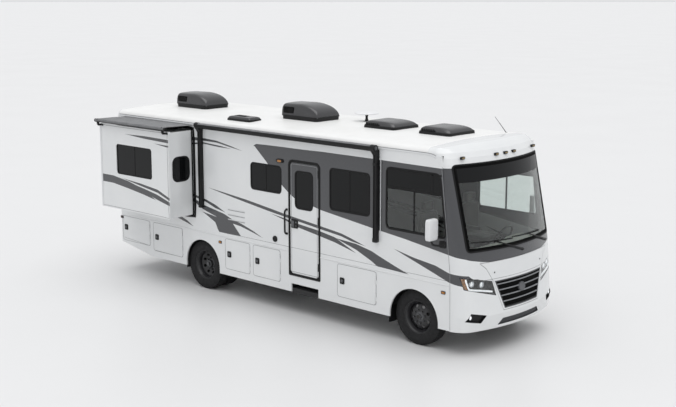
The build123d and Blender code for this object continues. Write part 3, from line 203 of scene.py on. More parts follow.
def grown(outline, out):
    """A closed outline moved outwards by a distance, square to its own run."""
    outline = np.asarray(outline, float)
    run = np.roll(outline, -1, axis=0) - np.roll(outline, 1, axis=0)
    run /= np.maximum(np.linalg.norm(run, axis=1, keepdims=True), 1e-9)
    area = np.sum(outline[:, 0] * np.roll(outline[:, 1], -1) - np.roll(outline[:, 0], -1) * outline[:, 1])
    square = np.stack([run[:, 1], -run[:, 0]], axis=-1) * np.sign(area)
    return outline + square * out


def moulding(outline, section, place):
    """A section of (out, rise) points carried round a closed outline that lies on a surface."""
    rows = [np.stack(place(*grown(outline, out).T, rise), axis=-1) for out, rise in section]
    return grid(np.stack(rows), round_rows=True, round_columns=True)


def plate(outline, foot, head, place, edge=0.002):
    """A flat or bowed plate that fills an outline between two heights, with a cut edge round its face."""
    outline = np.asarray(outline, float)
    rows = [np.stack(place(*grown(outline, out).T, rise), axis=-1)
            for out, rise in ((0, foot), (0, head - edge), (-edge, head))]
    points, faces = grid(np.stack(rows), round_columns=True)
    count = len(outline)
    return points, faces + [list(range(count))[::-1], list(range(2 * count, 3 * count))]


def oblong(u0, u1, v0, v1):
    """The corners of an upright rectangle."""
    return np.array([(u0, v0), (u1, v0), (u1, v1), (u0, v1)])


def slab(corners, place, foot, head, rows=6, columns=20):
    """A four-sided sheet with thickness on a surface: its points are shared out evenly between its corners."""
    a, b, c, d = np.asarray(corners, float)
    s, t = np.meshgrid(np.linspace(0, 1, columns + 1), np.linspace(0, 1, rows + 1))
    s, t = s[..., None], t[..., None]
    flat = (1 - s) * (1 - t) * a + s * (1 - t) * b + s * t * c + (1 - s) * t * d
    low, high = (np.stack(place(flat[..., 0], flat[..., 1], rise), axis=-1) for rise in (foot, head))
    rim = [np.concatenate([sheet[0, :-1], sheet[:-1, -1], sheet[-1, :0:-1], sheet[:0:-1, 0]])
           for sheet in (low, high)]
    return [grid(low), grid(high), grid(np.stack(rim), round_columns=True)]


# Where a flat outline lies on the coach

def on_right(u, v, w):
    """On the right wall: u forward, v up, w out of the wall."""
    return u, -HALF_WIDTH - w + 0 * u, v


def on_left(u, v, w):
    """On the left wall: u forward, v up, w out of the wall."""
    return u, HALF_WIDTH + w + 0 * u, v


def on_room(u, v, w):
    """On the slide-out room's long face: u forward, v up, w out of it."""
    return u, -ROOM_FACE - w + 0 * u, v


def on_rear(u, v, w):
    """On the rear cap: u to the left, v up, w backwards."""
    return REAR_X - w + 0 * u, u, v


def cap_x(y, z):
    """X of the front cap's skin: a long nose arc across, rounded into the sides, that leans back with height."""
    nose = np.interp(z, CAP_PROFILE[:, 0], CAP_PROFILE[:, 1])
    across = np.minimum(np.abs(y), HALF_WIDTH - 1e-4)
    corner_y = HALF_WIDTH - CAP_CORNER
    corner_x = nose - NOSE_RADIUS + math.sqrt((NOSE_RADIUS - CAP_CORNER)**2 - corner_y**2)
    meeting = corner_y * NOSE_RADIUS / (NOSE_RADIUS - CAP_CORNER)
    on_nose = nose - NOSE_RADIUS + np.sqrt(NOSE_RADIUS**2 - np.minimum(across, meeting)**2)
    on_corner = corner_x + np.sqrt(np.maximum(CAP_CORNER**2 - np.maximum(across - corner_y, 0)**2, 0))
    return np.where(across < meeting, on_nose, on_corner)


def on_cap(u, v, w):
    """On the front cap: u to the left, v up, w out of its skin."""
    return cap_x(u, v) + w, u, v


def mirrored(outline):
    """The same outline on the coach's other side."""
    return np.asarray(outline, float)[::-1] * (-1, 1)


# Shader nodes

ROUGH_SPREAD = 0.08  # how much the roughness of a finish differs over its surface


def linear(hex_colour):
    """An sRGB hex colour as linear red, green and blue."""
    share = np.array([int(hex_colour[k:k + 2], 16) for k in (1, 3, 5)]) / 255
    return tuple(np.where(share <= 0.04045, share / 12.92, ((share + 0.055) / 1.055)**2.4)) + (1.0,)


def feed(made, inputs):
    """Sets a node's inputs to values, or links them to other nodes' outputs."""
    for name, value in inputs.items():
        if isinstance(value, bpy.types.NodeSocket):
            made.id_data.links.new(value, made.inputs[name])
        else:
            made.inputs[name].default_value = value


def node(tree, kind, inputs, out=0, **settings):
    """Adds one shader node with its settings and inputs, and gives one of its outputs."""
    made = tree.nodes.new("ShaderNode" + kind)
    for name, value in settings.items():
        setattr(made, name, value)
    feed(made, inputs)
    return made.outputs[out]


def started(name):
    """A new material, its nodes, its shader, and the object's own coordinates from the front axle."""
    made = bpy.data.materials.new(name)
    made.use_nodes = True
    tree = made.node_tree
    place = node(tree, "Mapping", {"Vector": node(tree, "TexCoord", {}, "Object"), "Location": tuple(-ORIGIN)})
    return made, tree, tree.nodes["Principled BSDF"], place


def speckled(tree, place, size, contrast, detail=3.0, stretch=(1, 1, 1)):
    """A grey pattern of soft spots: noise whose spots are a size in metres across, pulled to the middle grey."""
    scaled = node(tree, "Mapping", {"Vector": place, "Scale": stretch})
    noise = node(tree, "TexNoise", {"Vector": scaled, "Scale": 1 / size, "Detail": detail}, "Fac")
    return node(tree, "MapRange", {"Value": noise, "From Min": 0.3, "From Max": 0.7,
                                   "To Min": 0.5 - contrast / 2, "To Max": 0.5 + contrast / 2})


def finish(name, light, dark, roughness, metallic=0.0, spots=0.15, contrast=0.6, grain=0.002, bump=0.05,
           coat=0.0, shine=0.5, glow=0.0, stretch=(1, 1, 1)):
    """A solid-coloured finish: broad soft spots between two near colours that differ in gloss too, and a fine
    grain in the surface. Spots and grain are sizes in metres, and a stretch under 1 draws them out."""
    made, tree, shader, place = started(name)
    broad = speckled(tree, place, spots, contrast, stretch=stretch)
    fine = speckled(tree, place, grain, 1.0, detail=2.0, stretch=stretch)
    feed(shader, {
        "Base Color": node(tree, "Mix", {0: broad, 6: linear(dark), 7: linear(light)}, 2, data_type="RGBA"),
        "Roughness": node(tree, "MapRange", {"Value": broad, "To Min": roughness + ROUGH_SPREAD / 2,
                                             "To Max": max(roughness - ROUGH_SPREAD / 2, 0.01)}),
        "Normal": node(tree, "Bump", {"Height": fine, "Strength": bump, "Distance": grain}),
        "Metallic": metallic, "Coat Weight": coat, "Specular IOR Level": shine,
        "Emission Color": linear(light), "Emission Strength": glow})
    return made


def clear_glass(name, tint, dark=False):
    """Laminated or tempered glass: it lets light through with a faint tint, and its face is a clean mirror."""
    made, tree, shader, place = started(name)
    darker = tuple(channel * 0.94 for channel in linear(tint)[:3]) + (1.0,)
    spots, wave = speckled(tree, place, 0.5, 0.3), speckled(tree, place, 0.4, 1.0, detail=1.0)
    feed(shader, {
        "Base Color": node(tree, "Mix", {0: spots, 6: darker, 7: linear(tint)}, 2, data_type="RGBA"),
        "Normal": node(tree, "Bump", {"Height": wave, "Strength": 0.01, "Distance": 0.01}),
        "Roughness": 0.02, "IOR": 1.5, "Specular IOR Level": 0.22 if dark else 0.4,
        "Transmission Weight": 0.0 if dark else 1.0})
    return made


def woven(name, light, dark, thread, roughness=0.75, sheen=0.3):
    """Woven or coated cloth: two crossing sets of threads, a real thread's spacing apart, with soft wear."""
    made, tree, shader, place = started(name)
    across, down = (
        node(tree, "TexWave", {"Vector": place, "Scale": 1 / thread / math.tau}, "Fac", bands_direction=way)
        for way in "XY")
    weave = node(tree, "Math", {0: across, 1: down}, operation="MAXIMUM")
    shade = node(tree, "Math", {0: weave, 1: speckled(tree, place, 0.12, 0.8)}, operation="MULTIPLY")
    feed(shader, {
        "Base Color": node(tree, "Mix", {0: shade, 6: linear(dark), 7: linear(light)}, 2, data_type="RGBA"),
        "Normal": node(tree, "Bump", {"Height": weave, "Strength": 0.3, "Distance": thread}),
        "Roughness": roughness, "Sheen Weight": sheen})
    return made


# The painted body

# Each lane holds the graphite stripes that never share the same X, as (x, upper edge, lower edge) points.
# Where the two edges meet, nothing is painted.
STRIPE_LANES = (
    ((-6.78, 2.95, 2.95), (-6.22, 2.965, 2.915), (-5.49, 2.955, 2.893), (-5.17, 2.962, 2.91), (-4.79, 2.945, 2.91),
     (-4.41, 2.885, 2.86), (-4.08, 2.82, 2.82), (-3.77, 2.96, 2.96), (-3.71, 2.99, 2.905), (-3.45, 2.995, 2.69),
     (-3.07, 3.00, 2.32), (-2.88, 3.00, 2.19), (-2.71, 3.00, 2.10), (-2.30, 3.005, 2.03), (-2.10, 3.01, 1.99),
     (-0.92, 3.01, 1.845), (-0.20, 3.005, 1.765), (0.70, 3.00, 1.64), (0.93, 3.00, 1.585), (1.08, 3.00, 1.50),
     (1.40, 3.00, 1.49)),
    ((-5.91, 2.85, 2.85), (-5.50, 2.845, 2.81), (-5.17, 2.88, 2.855), (-4.71, 2.86, 2.83), (-4.38, 2.83, 2.83)),
    ((-8.00, 2.09, 1.94), (-7.21, 2.09, 1.94), (-6.73, 2.03, 1.885), (-6.28, 1.93, 1.825), (-5.88, 1.76, 1.76),
     (-5.08, 2.03, 2.03), (-4.68, 1.995, 1.97), (-4.00, 1.93, 1.875), (-3.36, 1.85, 1.79), (-2.95, 1.795, 1.745),
     (-2.15, 1.71, 1.655), (-1.62, 1.65, 1.60), (-1.40, 1.60, 1.55), (-1.06, 1.51, 1.51), (-0.45, 1.57, 1.57),
     (-0.04, 1.49, 1.44), (0.43, 1.43, 1.29), (0.70, 1.35, 1.20), (0.98, 1.319, 1.141), (1.02, 1.25, 1.25)),
    ((-6.94, 2.07, 2.07), (-6.36, 2.03, 1.985), (-5.82, 1.97, 1.91), (-5.48, 1.85, 1.80), (-5.13, 1.79, 1.74),
     (-4.86, 1.72, 1.655), (-4.58, 1.61, 1.61), (-3.36, 1.76, 1.76), (-2.95, 1.715, 1.68), (-2.80, 1.68, 1.625),
     (-2.16, 1.62, 1.53), (-1.77, 1.56, 1.47), (-1.28, 1.36, 1.36)),
    ((-6.78, 2.02, 2.02), (-6.24, 1.94, 1.87), (-5.83, 1.87, 1.77), (-5.45, 1.76, 1.69), (-5.23, 1.68, 1.59),
     (-4.62, 1.58, 1.44), (-4.38, 1.50, 1.425), (-4.16, 1.46, 1.405), (-3.83, 1.37, 1.335), (-3.56, 1.27, 1.27),
     (-1.76, 1.55, 1.55), (-1.28, 1.52, 1.42), (-0.92, 1.45, 1.275), (-0.80, 1.405, 1.21), (-0.45, 1.29, 1.20),
     (-0.12, 1.19, 1.19)),
    ((-6.20, 1.38, 1.38), (-6.04, 1.41, 1.33), (-5.69, 1.30, 1.25), (-5.52, 1.21, 1.21), (-5.24, 1.54, 1.54),
     (-4.87, 1.495, 1.38), (-4.78, 1.485, 1.21), (-4.38, 1.43, 1.21), (-4.16, 1.22, 1.215)),
)
STRIPE_FROM, STRIPE_TO, STRIPE_TALL = -8.1, 1.5, 3.6


def lane_edge(tree, along, points):
    """The height of a lane's edge over X, read from a curve of straight runs, both as shares of their spans."""
    height = node(tree, "FloatCurve", {"Value": along})
    mapping = height.node.mapping
    shares = [((x - STRIPE_FROM) / (STRIPE_TO - STRIPE_FROM), z / STRIPE_TALL) for x, z in points]
    shares = [(0.0, shares[0][1])] + shares + [(1.0, shares[-1][1])]
    for place, share in zip(mapping.curves[0].points, (shares[0], shares[-1])):
        place.location = share
    for share in shares[1:-1]:
        mapping.curves[0].points.new(*share)
    for place in mapping.curves[0].points:
        place.handle_type = "VECTOR"
    mapping.update()
    return height


def striped(tree, place):
    """1 on the graphite stripes and 0 on the white: a place is striped where its height lies between the two
    edges of a lane. The room's end walls, which stand past the side wall and face along X, stay white."""
    x, y, z = node(tree, "SeparateXYZ", {"Vector": place}).node.outputs
    along = node(tree, "MapRange", {"Value": x, "From Min": STRIPE_FROM, "From Max": STRIPE_TO})
    height = node(tree, "Math", {0: z, 1: STRIPE_TALL}, operation="DIVIDE")
    mask = 0.0
    for lane in STRIPE_LANES:
        upper = lane_edge(tree, along, [(x, top) for x, top, _ in lane])
        lower = lane_edge(tree, along, [(x, foot) for x, _, foot in lane])
        below = node(tree, "Math", {0: height, 1: upper}, operation="LESS_THAN")
        above = node(tree, "Math", {0: height, 1: lower}, operation="GREATER_THAN")
        inside = node(tree, "Math", {0: below, 1: above}, operation="MULTIPLY")
        mask = node(tree, "Math", {0: mask, 1: inside}, operation="MAXIMUM")
    facing = node(tree, "SeparateXYZ", {"Vector": node(tree, "NewGeometry", {}, "Normal")})
    turned_on = node(tree, "Math", {0: facing}, operation="ABSOLUTE")
    turned_on = node(tree, "Math", {0: turned_on, 1: 0.7}, operation="GREATER_THAN")
    past = node(tree, "Math", {0: y, 1: -HALF_WIDTH - 0.004}, operation="LESS_THAN")
    kept_white = node(tree, "Math", {0: turned_on, 1: past}, operation="MULTIPLY")
    kept_white = node(tree, "Math", {0: mask, 1: kept_white}, operation="MULTIPLY")
    return node(tree, "Math", {0: mask, 1: kept_white}, operation="SUBTRACT")


def painted_fibreglass():
    """Moulded fibreglass panels, gelcoated white and sprayed with graphite stripes: a hard wet gloss over a
    faintly wavy skin, with metal flakes in the graphite. The flakes are drawn at 4 mm, coarse enough to show."""
    made, tree, shader, place = started("painted fibreglass")
    soft, flake = speckled(tree, place, 0.9, 0.5), speckled(tree, place, 0.004, 1.0)
    white = node(tree, "Mix", {0: soft, 6: linear("#d6d8d9"), 7: linear("#e2e3e3")}, 2, data_type="RGBA")
    graphite = node(tree, "Mix", {0: flake, 6: linear("#38393c"), 7: linear("#434447")}, 2, data_type="RGBA")
    wave = speckled(tree, place, 0.35, 1.0, detail=1.0)
    feed(shader, {
        "Base Color": node(tree, "Mix", {0: striped(tree, place), 6: white, 7: graphite}, 2, data_type="RGBA"),
        "Normal": node(tree, "Bump", {"Height": wave, "Strength": 0.04, "Distance": 0.01}),
        "Roughness": node(tree, "MapRange", {"Value": soft, "To Min": 0.16, "To Max": 0.24}),
        "Coat Weight": 0.5, "Coat Roughness": 0.04})
    return made


# Materials. A comment says what each gives the eye. Grains under 1 mm are drawn at 1 mm or more, to show.

body_paint = painted_fibreglass()
# Membrane: a soft, slightly warm white with no clear reflections
roof_skin = finish("rolled rubber roof membrane", "#ececeb", "#dededc", 0.42, spots=0.6, grain=0.003, bump=0.06)
# Powder coat: an even white with a satin glint along its edges
trim_white = finish("white powder-coated aluminium", "#dadbdc", "#cdcfd0", 0.32, spots=0.4, grain=0.0015,
                    coat=0.2)
# Sealant: a dull grey line where two panels meet. The same grey paints a shadow line along each roof rail and the
# shade in the wall louvre's slots
seam_and_shade_grey = finish("grey seam sealant and painted shade", "#8f9092", "#7f8082", 0.55, spots=0.05)
# Privacy glass: nearly black, with a clean dim reflection
dark_glass = clear_glass("tinted privacy glass", "#101112", dark=True)
# Windshield: almost clear, with the faintest green
wind_glass = clear_glass("laminated windshield glass", "#eff5f2")
# Cab glass: clear with a grey-green cast
cab_glass = clear_glass("tempered cab glass", "#e2e9e7")
# Lens cover: as clear as water
lens_glass = clear_glass("clear polycarbonate lens", "#fafcfc")
# Anodised frame: a flat black line round a pane
frame_black = finish("black anodised window frame", "#0e0e0f", "#080809", 0.45, spots=0.2, grain=0.001,
                     shine=0.25)
# Rubber: a deep matt black with soft edges
rubber = finish("extruded black rubber", "#111112", "#0a0a0b", 0.62, spots=0.08, bump=0.1, shine=0.25)
# Tyre: a dusty matt charcoal
tyre_rubber = finish("moulded tyre rubber", "#222223", "#161617", 0.78, spots=0.05, contrast=0.9, grain=0.0015,
                     bump=0.15, shine=0.35)
# Wheel paint: black with a soft gloss that shows the disc's dish
wheel_black = finish("black painted wheel steel", "#2c2c2e", "#19191b", 0.42, spots=0.04, coat=0.15)
# Machined steel: a dull grey metal
hub_steel = finish("machined hub steel", "#6d6e70", "#4b4c4e", 0.36, metallic=0.8, spots=0.02, grain=0.001)
# Textured plastic: black, with a fine grain that breaks the light
black_abs = finish("moulded black plastic", "#151516", "#0c0c0d", 0.48, spots=0.06, grain=0.0012, bump=0.12,
                   shine=0.3)
# Roof cover: dark grey, smooth enough to mirror the sky on its top
charcoal_abs = finish("moulded charcoal roof cover", "#2b2b2d", "#212123", 0.24, bump=0.04, shine=0.9)
# White plastic: a clean satin white
white_abs = finish("moulded white plastic", "#e3e4e5", "#d6d7d8", 0.33, spots=0.12, grain=0.0015)
# Awning metal: a plain satin black
awning_black = finish("black powder-coated awning aluminium", "#131314", "#0b0b0c", 0.45, spots=0.1,
                      grain=0.0015, shine=0.3)
# Backing: a black that paints the shade behind the grille, in the air conditioners' louvre recesses, on the
# skylight's pane and in the step's housing; it also prints the windshield's border
shade_and_print_black = finish("black for painted shade and printed border", "#050505", "#020202", 0.8, spots=0.05, shine=0.1)
# Coated fabrics: mid greys with the mark of their threads, which are drawn 3 mm apart to show
awning_vinyl = woven("coated awning fabric", "#86878a", "#606163", 0.003, 0.6, 0.15)
topper_vinyl = woven("coated slide topper fabric", "#7c7d7f", "#58595b", 0.003, 0.6, 0.15)
# Chromed plastic: bright and slightly soft
bright_trim = finish("satin chromed plastic", "#c9cbce", "#aeb0b3", 0.18, metallic=0.9, spots=0.05, grain=0.001)
# Graphite trim: a mid grey between the black parts
graphite_trim = finish("satin graphite trim", "#5f6063", "#4c4d50", 0.34, metallic=0.2, spots=0.05, grain=0.001)
# Grille bars: a light grey with a metal glint
satin_silver = finish("satin silver grille bar", "#909295", "#7b7c7f", 0.34, metallic=0.3, spots=0.08,
                      grain=0.001)
# Intake mesh: grey holes and ridges a centimetre apart
intake_grey = finish("moulded grey intake mesh", "#505154", "#303134", 0.6, spots=0.012, contrast=1.0,
                     grain=0.004, bump=0.6, shine=0.3)
# Lamp lenses: coloured plastics with fluting that shows as small spots under a clear gloss
amber_lens = finish("amber lamp lens", "#bd7c2e", "#8f5a1c", 0.12, spots=0.02, contrast=0.9, grain=0.003,
                    coat=0.5)
smoked_lens = finish("smoked amber marker lens", "#8f7a4a", "#5e4c2c", 0.15, spots=0.012, contrast=1.0,
                     grain=0.003, coat=0.4)
dark_red_lens = finish("dark red marker lens", "#3c1311", "#260b0a", 0.15, spots=0.012, contrast=1.0,
                       grain=0.003, coat=0.4)
red_lens = finish("red lamp lens", "#9c1c1a", "#7c1312", 0.12, spots=0.02, contrast=0.9, grain=0.003, coat=0.6)
# Lamp optics: a lit white in the headlamps
white_lens = finish("fluted white lamp lens", "#f4f6f8", "#d9dde0", 0.14, spots=0.01, contrast=1.0,
                    grain=0.004, coat=0.6, glow=0.55)
# Mirror glass: a clear cool reflection
mirror_glass = finish("silvered mirror glass", "#aeb4b8", "#a0a6aa", 0.03, metallic=1.0, spots=0.3, grain=0.003,
                      bump=0.0)
# Chassis paint: a dull black with road film
frame_steel = finish("black painted chassis steel", "#2b2b2c", "#1a1a1b", 0.55, spots=0.08, contrast=0.9,
                     grain=0.003, bump=0.12)
# Castings: brown-grey, rough and half metallic
cast_iron = finish("cast iron", "#3a3937", "#262523", 0.6, metallic=0.5, spots=0.05, contrast=1.0, grain=0.003,
                   bump=0.2)
# Exhaust: a warm grey metal with heat stains
exhaust_steel = finish("aluminised exhaust steel", "#7b7a76", "#5a5652", 0.42, metallic=0.8, spots=0.06,
                       contrast=1.0)
# Galvanised sheet: light grey metal with spangles
bay_steel = finish("galvanised bay sheet", "#9a9c9d", "#7f8183", 0.45, metallic=0.6, spots=0.03, contrast=1.0,
                   grain=0.004)
# Tank plastic: a waxy dark grey
tank_plastic = finish("rotomoulded tank plastic", "#3b3b3a", "#2b2b2a", 0.55, spots=0.1, grain=0.004, bump=0.15)
# Dashboard: a pale matt grey, dulled by its grain
dash_plastic = finish("grained dashboard plastic", "#dedfd6", "#c8c9c0", 0.6, spots=0.05, grain=0.0012,
                      bump=0.25)
# Seat cloth: a soft dark taupe whose threads are drawn 2 mm apart
seat_cloth = woven("woven seat cloth", "#55524d", "#3a3834", 0.002, 0.85, 0.5)
# Floor: brown planks, drawn out along the coach
floor_vinyl = finish("planked floor vinyl", "#7d6a55", "#5d4d3d", 0.45, spots=0.12, contrast=1.0, grain=0.003,
                     stretch=(0.2, 1, 1))
# Step plate: black with a coarse grit
step_black = finish("non-slip step plate", "#262628", "#161617", 0.6, spots=0.02, contrast=1.0, grain=0.004,
                    bump=0.5)

# The finish of each node that the frame brings
NODE_FINISHES = {
    body_paint: ("front_cap", "rear_cap", "right_wall", "left_wall", "right_skirt", "left_skirt", "hood",
                 "entry_door", "slide_room") + tuple(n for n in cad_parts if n.startswith("baggage_door_")),
    roof_skin: ("roof",),
    wind_glass: ("windshield",),
    rubber: ("slide_seal",),
    frame_black: ("entry_door_frame",),
    frame_steel: ("chassis_frame", "leaf_springs", "wheel_wells", "hitch_receiver"),
    step_black: ("entry_step", "entry_stairs"),
    cast_iron: ("engine", "axles", "knuckle_right", "knuckle_left"),
    hub_steel: ("driveshaft",),
    exhaust_steel: ("exhaust",),
    bay_steel: ("storage_bays",),
    tank_plastic: ("tanks",),
    floor_vinyl: ("cabin_floor",),
    dash_plastic: ("dashboard",),
    awning_black: ("awning", "topper_roller"),
    topper_vinyl: ("topper_fabric",),
    seat_cloth: ("cab_seats",),
    dark_glass: ("cabin_windows", "slide_windows", "entry_door_window", "cab_windows"),
    charcoal_abs: ("roof_air_conditioners", "roof_vents"),
    black_abs: ("mirrors", "wipers", "grille", "headlamps"),
    red_lens: ("body_lamps",),
    tyre_rubber: ("tyre_front_right", "tyre_front_left", "tyres_rear_right", "tyres_rear_left"),
    wheel_black: ("rim_front_right", "rim_front_left", "rims_rear_right", "rims_rear_left"),
}
for material, names in NODE_FINISHES.items():
    for name in names:
        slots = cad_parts[name].data.materials
        slots.clear()
        slots.append(material)


def piece(name, shells, finish_used, body="coach", stands_for=(), slot=None, sharp=35.0):
    """One mesh from several (points, faces) shells: doubles merged, faces turned outwards, and shaded smooth up
    to an angle. It rides on a body and may replace nodes of the frame."""
    points, faces, count = [], [], 0
    for shell_points, shell_faces in shells:
        points.append(np.asarray(shell_points, float).reshape(-1, 3) + ORIGIN)
        faces += [[corner + count for corner in face] for face in shell_faces]
        count += len(points[-1])
    mesh = bpy.data.meshes.new(name)
    mesh.from_pydata(np.concatenate(points).tolist(), [], faces)
    soft = bmesh.new()
    soft.from_mesh(mesh)
    bmesh.ops.remove_doubles(soft, verts=soft.verts, dist=2e-5)
    bmesh.ops.recalc_face_normals(soft, faces=soft.faces)
    soft.to_mesh(mesh)
    soft.free()
    mesh.materials.append(finish_used)
    mesh.shade_smooth()
    mesh.set_sharp_from_angle(angle=math.radians(sharp))
    made = bpy.data.objects.new(name, mesh)
    bpy.context.scene.collection.objects.link(made)
    if body:
        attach(made, body)
    if stands_for:
        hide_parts(*stands_for)
    return made


# Wheels

TYRE_RADIUS, AXLE_Z, WHEEL_BOLTS, BOLT_RING = 0.4725, 0.4725, 8, 0.1125
WHEELS = (  # body, tyre node, rim node, axle X, side, middle of each tyre, dished
    ("wheel_front_right", "tyre_front_right", "rim_front_right", 0.0, -1, (1.075,), False),
    ("wheel_front_left", "tyre_front_left", "rim_front_left", 0.0, 1, (1.075,), False),
    ("wheels_rear_right", "tyres_rear_right", "rims_rear_right", -WHEELBASE, -1, (1.0975, 0.7875), True),
    ("wheels_rear_left", "tyres_rear_left", "rims_rear_left", -WHEELBASE, 1, (1.0975, 0.7875), True),
)
# Cross profiles as (radius or distance, outwards) points. The tyre's grooves are given by their edges.
TYRE_WALL = np.array([(0.262, -0.086), (0.268, -0.100), (0.285, -0.108), (0.300, -0.112), (0.305, -0.1165),
                      (0.345, -0.1215), (0.385, -0.1205), (0.415, -0.117), (0.419, -0.1145), (0.440, -0.112),
                      (0.456, -0.106)])
GROOVE_EDGES = np.array([-0.101, -0.070, -0.0685, -0.0605, -0.059, -0.027, -0.0255, -0.0175, -0.016])
GROOVE_SUNK = np.array([0, 0, 1, 1, 0, 0, 1, 1, 0])
NUT = ((0.0, 0.030), (0.008, 0.030), (0.010, 0.026), (0.0135, 0.024), (0.0165, 0.020), (0.0165, 0.0),
       (0.0, 0.0))
BARREL = ((0.2795, 0.101), (0.2820, 0.096), (0.2810, 0.090), (0.2700, 0.087), (0.2620, 0.078), (0.2510, 0.055),
          (0.2380, 0.030), (0.2380, -0.030), (0.2510, -0.060), (0.2620, -0.078), (0.2700, -0.088),
          (0.2810, -0.094), (0.2800, -0.100), (0.2680, -0.094), (0.2540, -0.078), (0.2430, -0.060),
          (0.2300, -0.030), (0.2300, 0.030), (0.2430, 0.055), (0.2540, 0.080), (0.2660, 0.096), (0.2740, 0.101),
          (0.2795, 0.101))
FLANGE = ((0.270, 0.100), (0.276, 0.104), (0.282, 0.104), (0.285, 0.099), (0.283, 0.094), (0.270, 0.094),
          (0.270, 0.100))
DISC_INNER, DISC_OUTER = 0.078, 0.2295
SUNK_DISC = np.array([(DISC_INNER, -0.052), (0.130, -0.052), (0.150, -0.048), (0.205, -0.012),
                      (DISC_OUTER, -0.004)])
RAISED_DISC = np.array([(DISC_INNER, 0.062), (0.120, 0.062), (0.150, 0.058), (0.205, 0.030), (DISC_OUTER, 0.004)])
REAR_HUB = ((0.0, 0.100), (0.030, 0.100), (0.040, 0.094), (0.042, 0.070), (0.070, 0.066), (0.074, 0.060),
            (0.078, 0.012), (0.090, 0.006), (0.092, 0.0), (0.0, 0.0))
FRONT_HUB = ((0.0, 0.030), (0.034, 0.030), (0.046, 0.024), (0.050, 0.008), (0.074, 0.004), (0.080, 0.0),
             (0.0, 0.0))
HUB_BOLT = ((0.0, 0.010), (0.006, 0.010), (0.008, 0.006), (0.008, 0.0), (0.0, 0.0))
VALVE = ((0.205, 0.028, 0.02), (0.208, 0.050, 0.02), (0.212, 0.066, 0.021))  # forward, outwards, up of the hub


def tyre(axle_x, middle_y, side, pitches=60):
    """A tyre: its cross profile turned about the axle. Four grooves run round the tread, and slots at even turns
    cut the shoulders into blocks: where a turn falls in a slot, the shoulder's radius is 8 mm less."""
    along = np.concatenate([GROOVE_EDGES, -GROOVE_EDGES[::-1]])
    sunk = np.concatenate([GROOVE_SUNK, GROOVE_SUNK[::-1]])
    radius = TYRE_RADIUS - 0.006 * (along / 0.1)**2 - 0.010 * sunk
    radius = np.concatenate([TYRE_WALL[:, 0], radius, TYRE_WALL[::-1, 0]])
    along = np.concatenate([TYRE_WALL[:, 1], along, -TYRE_WALL[::-1, 1]])
    phase = np.tile([0.0, 0.06, 0.22, 0.28], pitches)
    turn = (np.repeat(np.arange(pitches), 4) + phase) * 2 * np.pi / pitches
    in_slot = np.isin(phase, (0.06, 0.22))[:, None] & ((np.abs(along) > 0.0695) & (radius > 0.43))[None, :]
    radius = radius[None, :] - 0.008 * in_slot
    points = np.stack([axle_x + radius * np.cos(turn)[:, None],
                       np.broadcast_to(middle_y + side * along, radius.shape),
                       AXLE_Z + radius * np.sin(turn)[:, None]], axis=-1)
    return grid(points, round_rows=True, round_columns=True)


def holed_disc(centre, side, dish, ring, tall, wide, count, thick=0.008, steps=24, rows=5):
    """A dished disc with a ring of oval holes. Each hole's sector is filled by straight lines from the hole's
    edge to the sector's own edge, once for the face and once for the back; dish gives the depth over the
    radius."""
    half, up, down = math.pi / count * ring, dish[-1, 0] - ring, ring - dish[0, 0]
    corners = [math.atan2(v, u) % (2 * np.pi) for v in (up, -down) for u in (half, -half)]
    angle = np.sort(np.concatenate([np.arange(steps) * 2 * np.pi / steps + 0.01, corners]))
    cos, sin = np.cos(angle), np.sin(angle)
    reach = np.minimum(half / np.maximum(np.abs(cos), 1e-9),
                       np.where(sin > 0, up, down) / np.maximum(np.abs(sin), 1e-9))
    share = np.linspace(0, 1, rows)[:, None]
    across = (1 - share) * cos * wide + share * cos * reach
    radius = ring + (1 - share) * sin * tall + share * sin * reach
    depth = np.interp(radius, dish[:, 0], dish[:, 1])
    shells = []
    for sector in range(count):
        turn = across / ring + (sector + 0.5) * 2 * np.pi / count
        layers = [np.stack([centre[0] + radius * np.cos(turn), centre[1] + side * (depth - behind),
                            centre[2] + radius * np.sin(turn)], axis=-1) for behind in (0.0, thick)]
        shells.append(grid(np.concatenate([layers[0][::-1], layers[1]]), round_columns=True))
    return shells


def turned_out(profile, place, side, steps):
    """A profile of (radius, outwards) points turned about the axle's line."""
    return turned(np.array(profile) * (1, side), place, "y", steps)


def ring_of(profile, centre, side, ring, steps=6, phase=0.0):
    """Small turned parts, such as nuts, set at even turns on a ring about the axle."""
    turns = (np.arange(WHEEL_BOLTS) + phase) * 2 * np.pi / WHEEL_BOLTS
    return [turned_out(profile, (centre[0] + ring * math.cos(turn), centre[1], centre[2] + ring * math.sin(turn)),
                       side, steps) for turn in turns]


def rim(axle_x, middle_y, side, dished):
    """A pressed steel wheel: a turned barrel with rolled flanges and a disc with eight hand holes. A front disc
    bulges outwards, and a rear one is sunk deep towards the axle."""
    centre = (axle_x, middle_y, AXLE_Z)
    disc = holed_disc(centre, side, SUNK_DISC if dished else RAISED_DISC, 0.176, 0.024, 0.030, WHEEL_BOLTS)
    return [turned_out(BARREL, centre, side, 72)] + disc


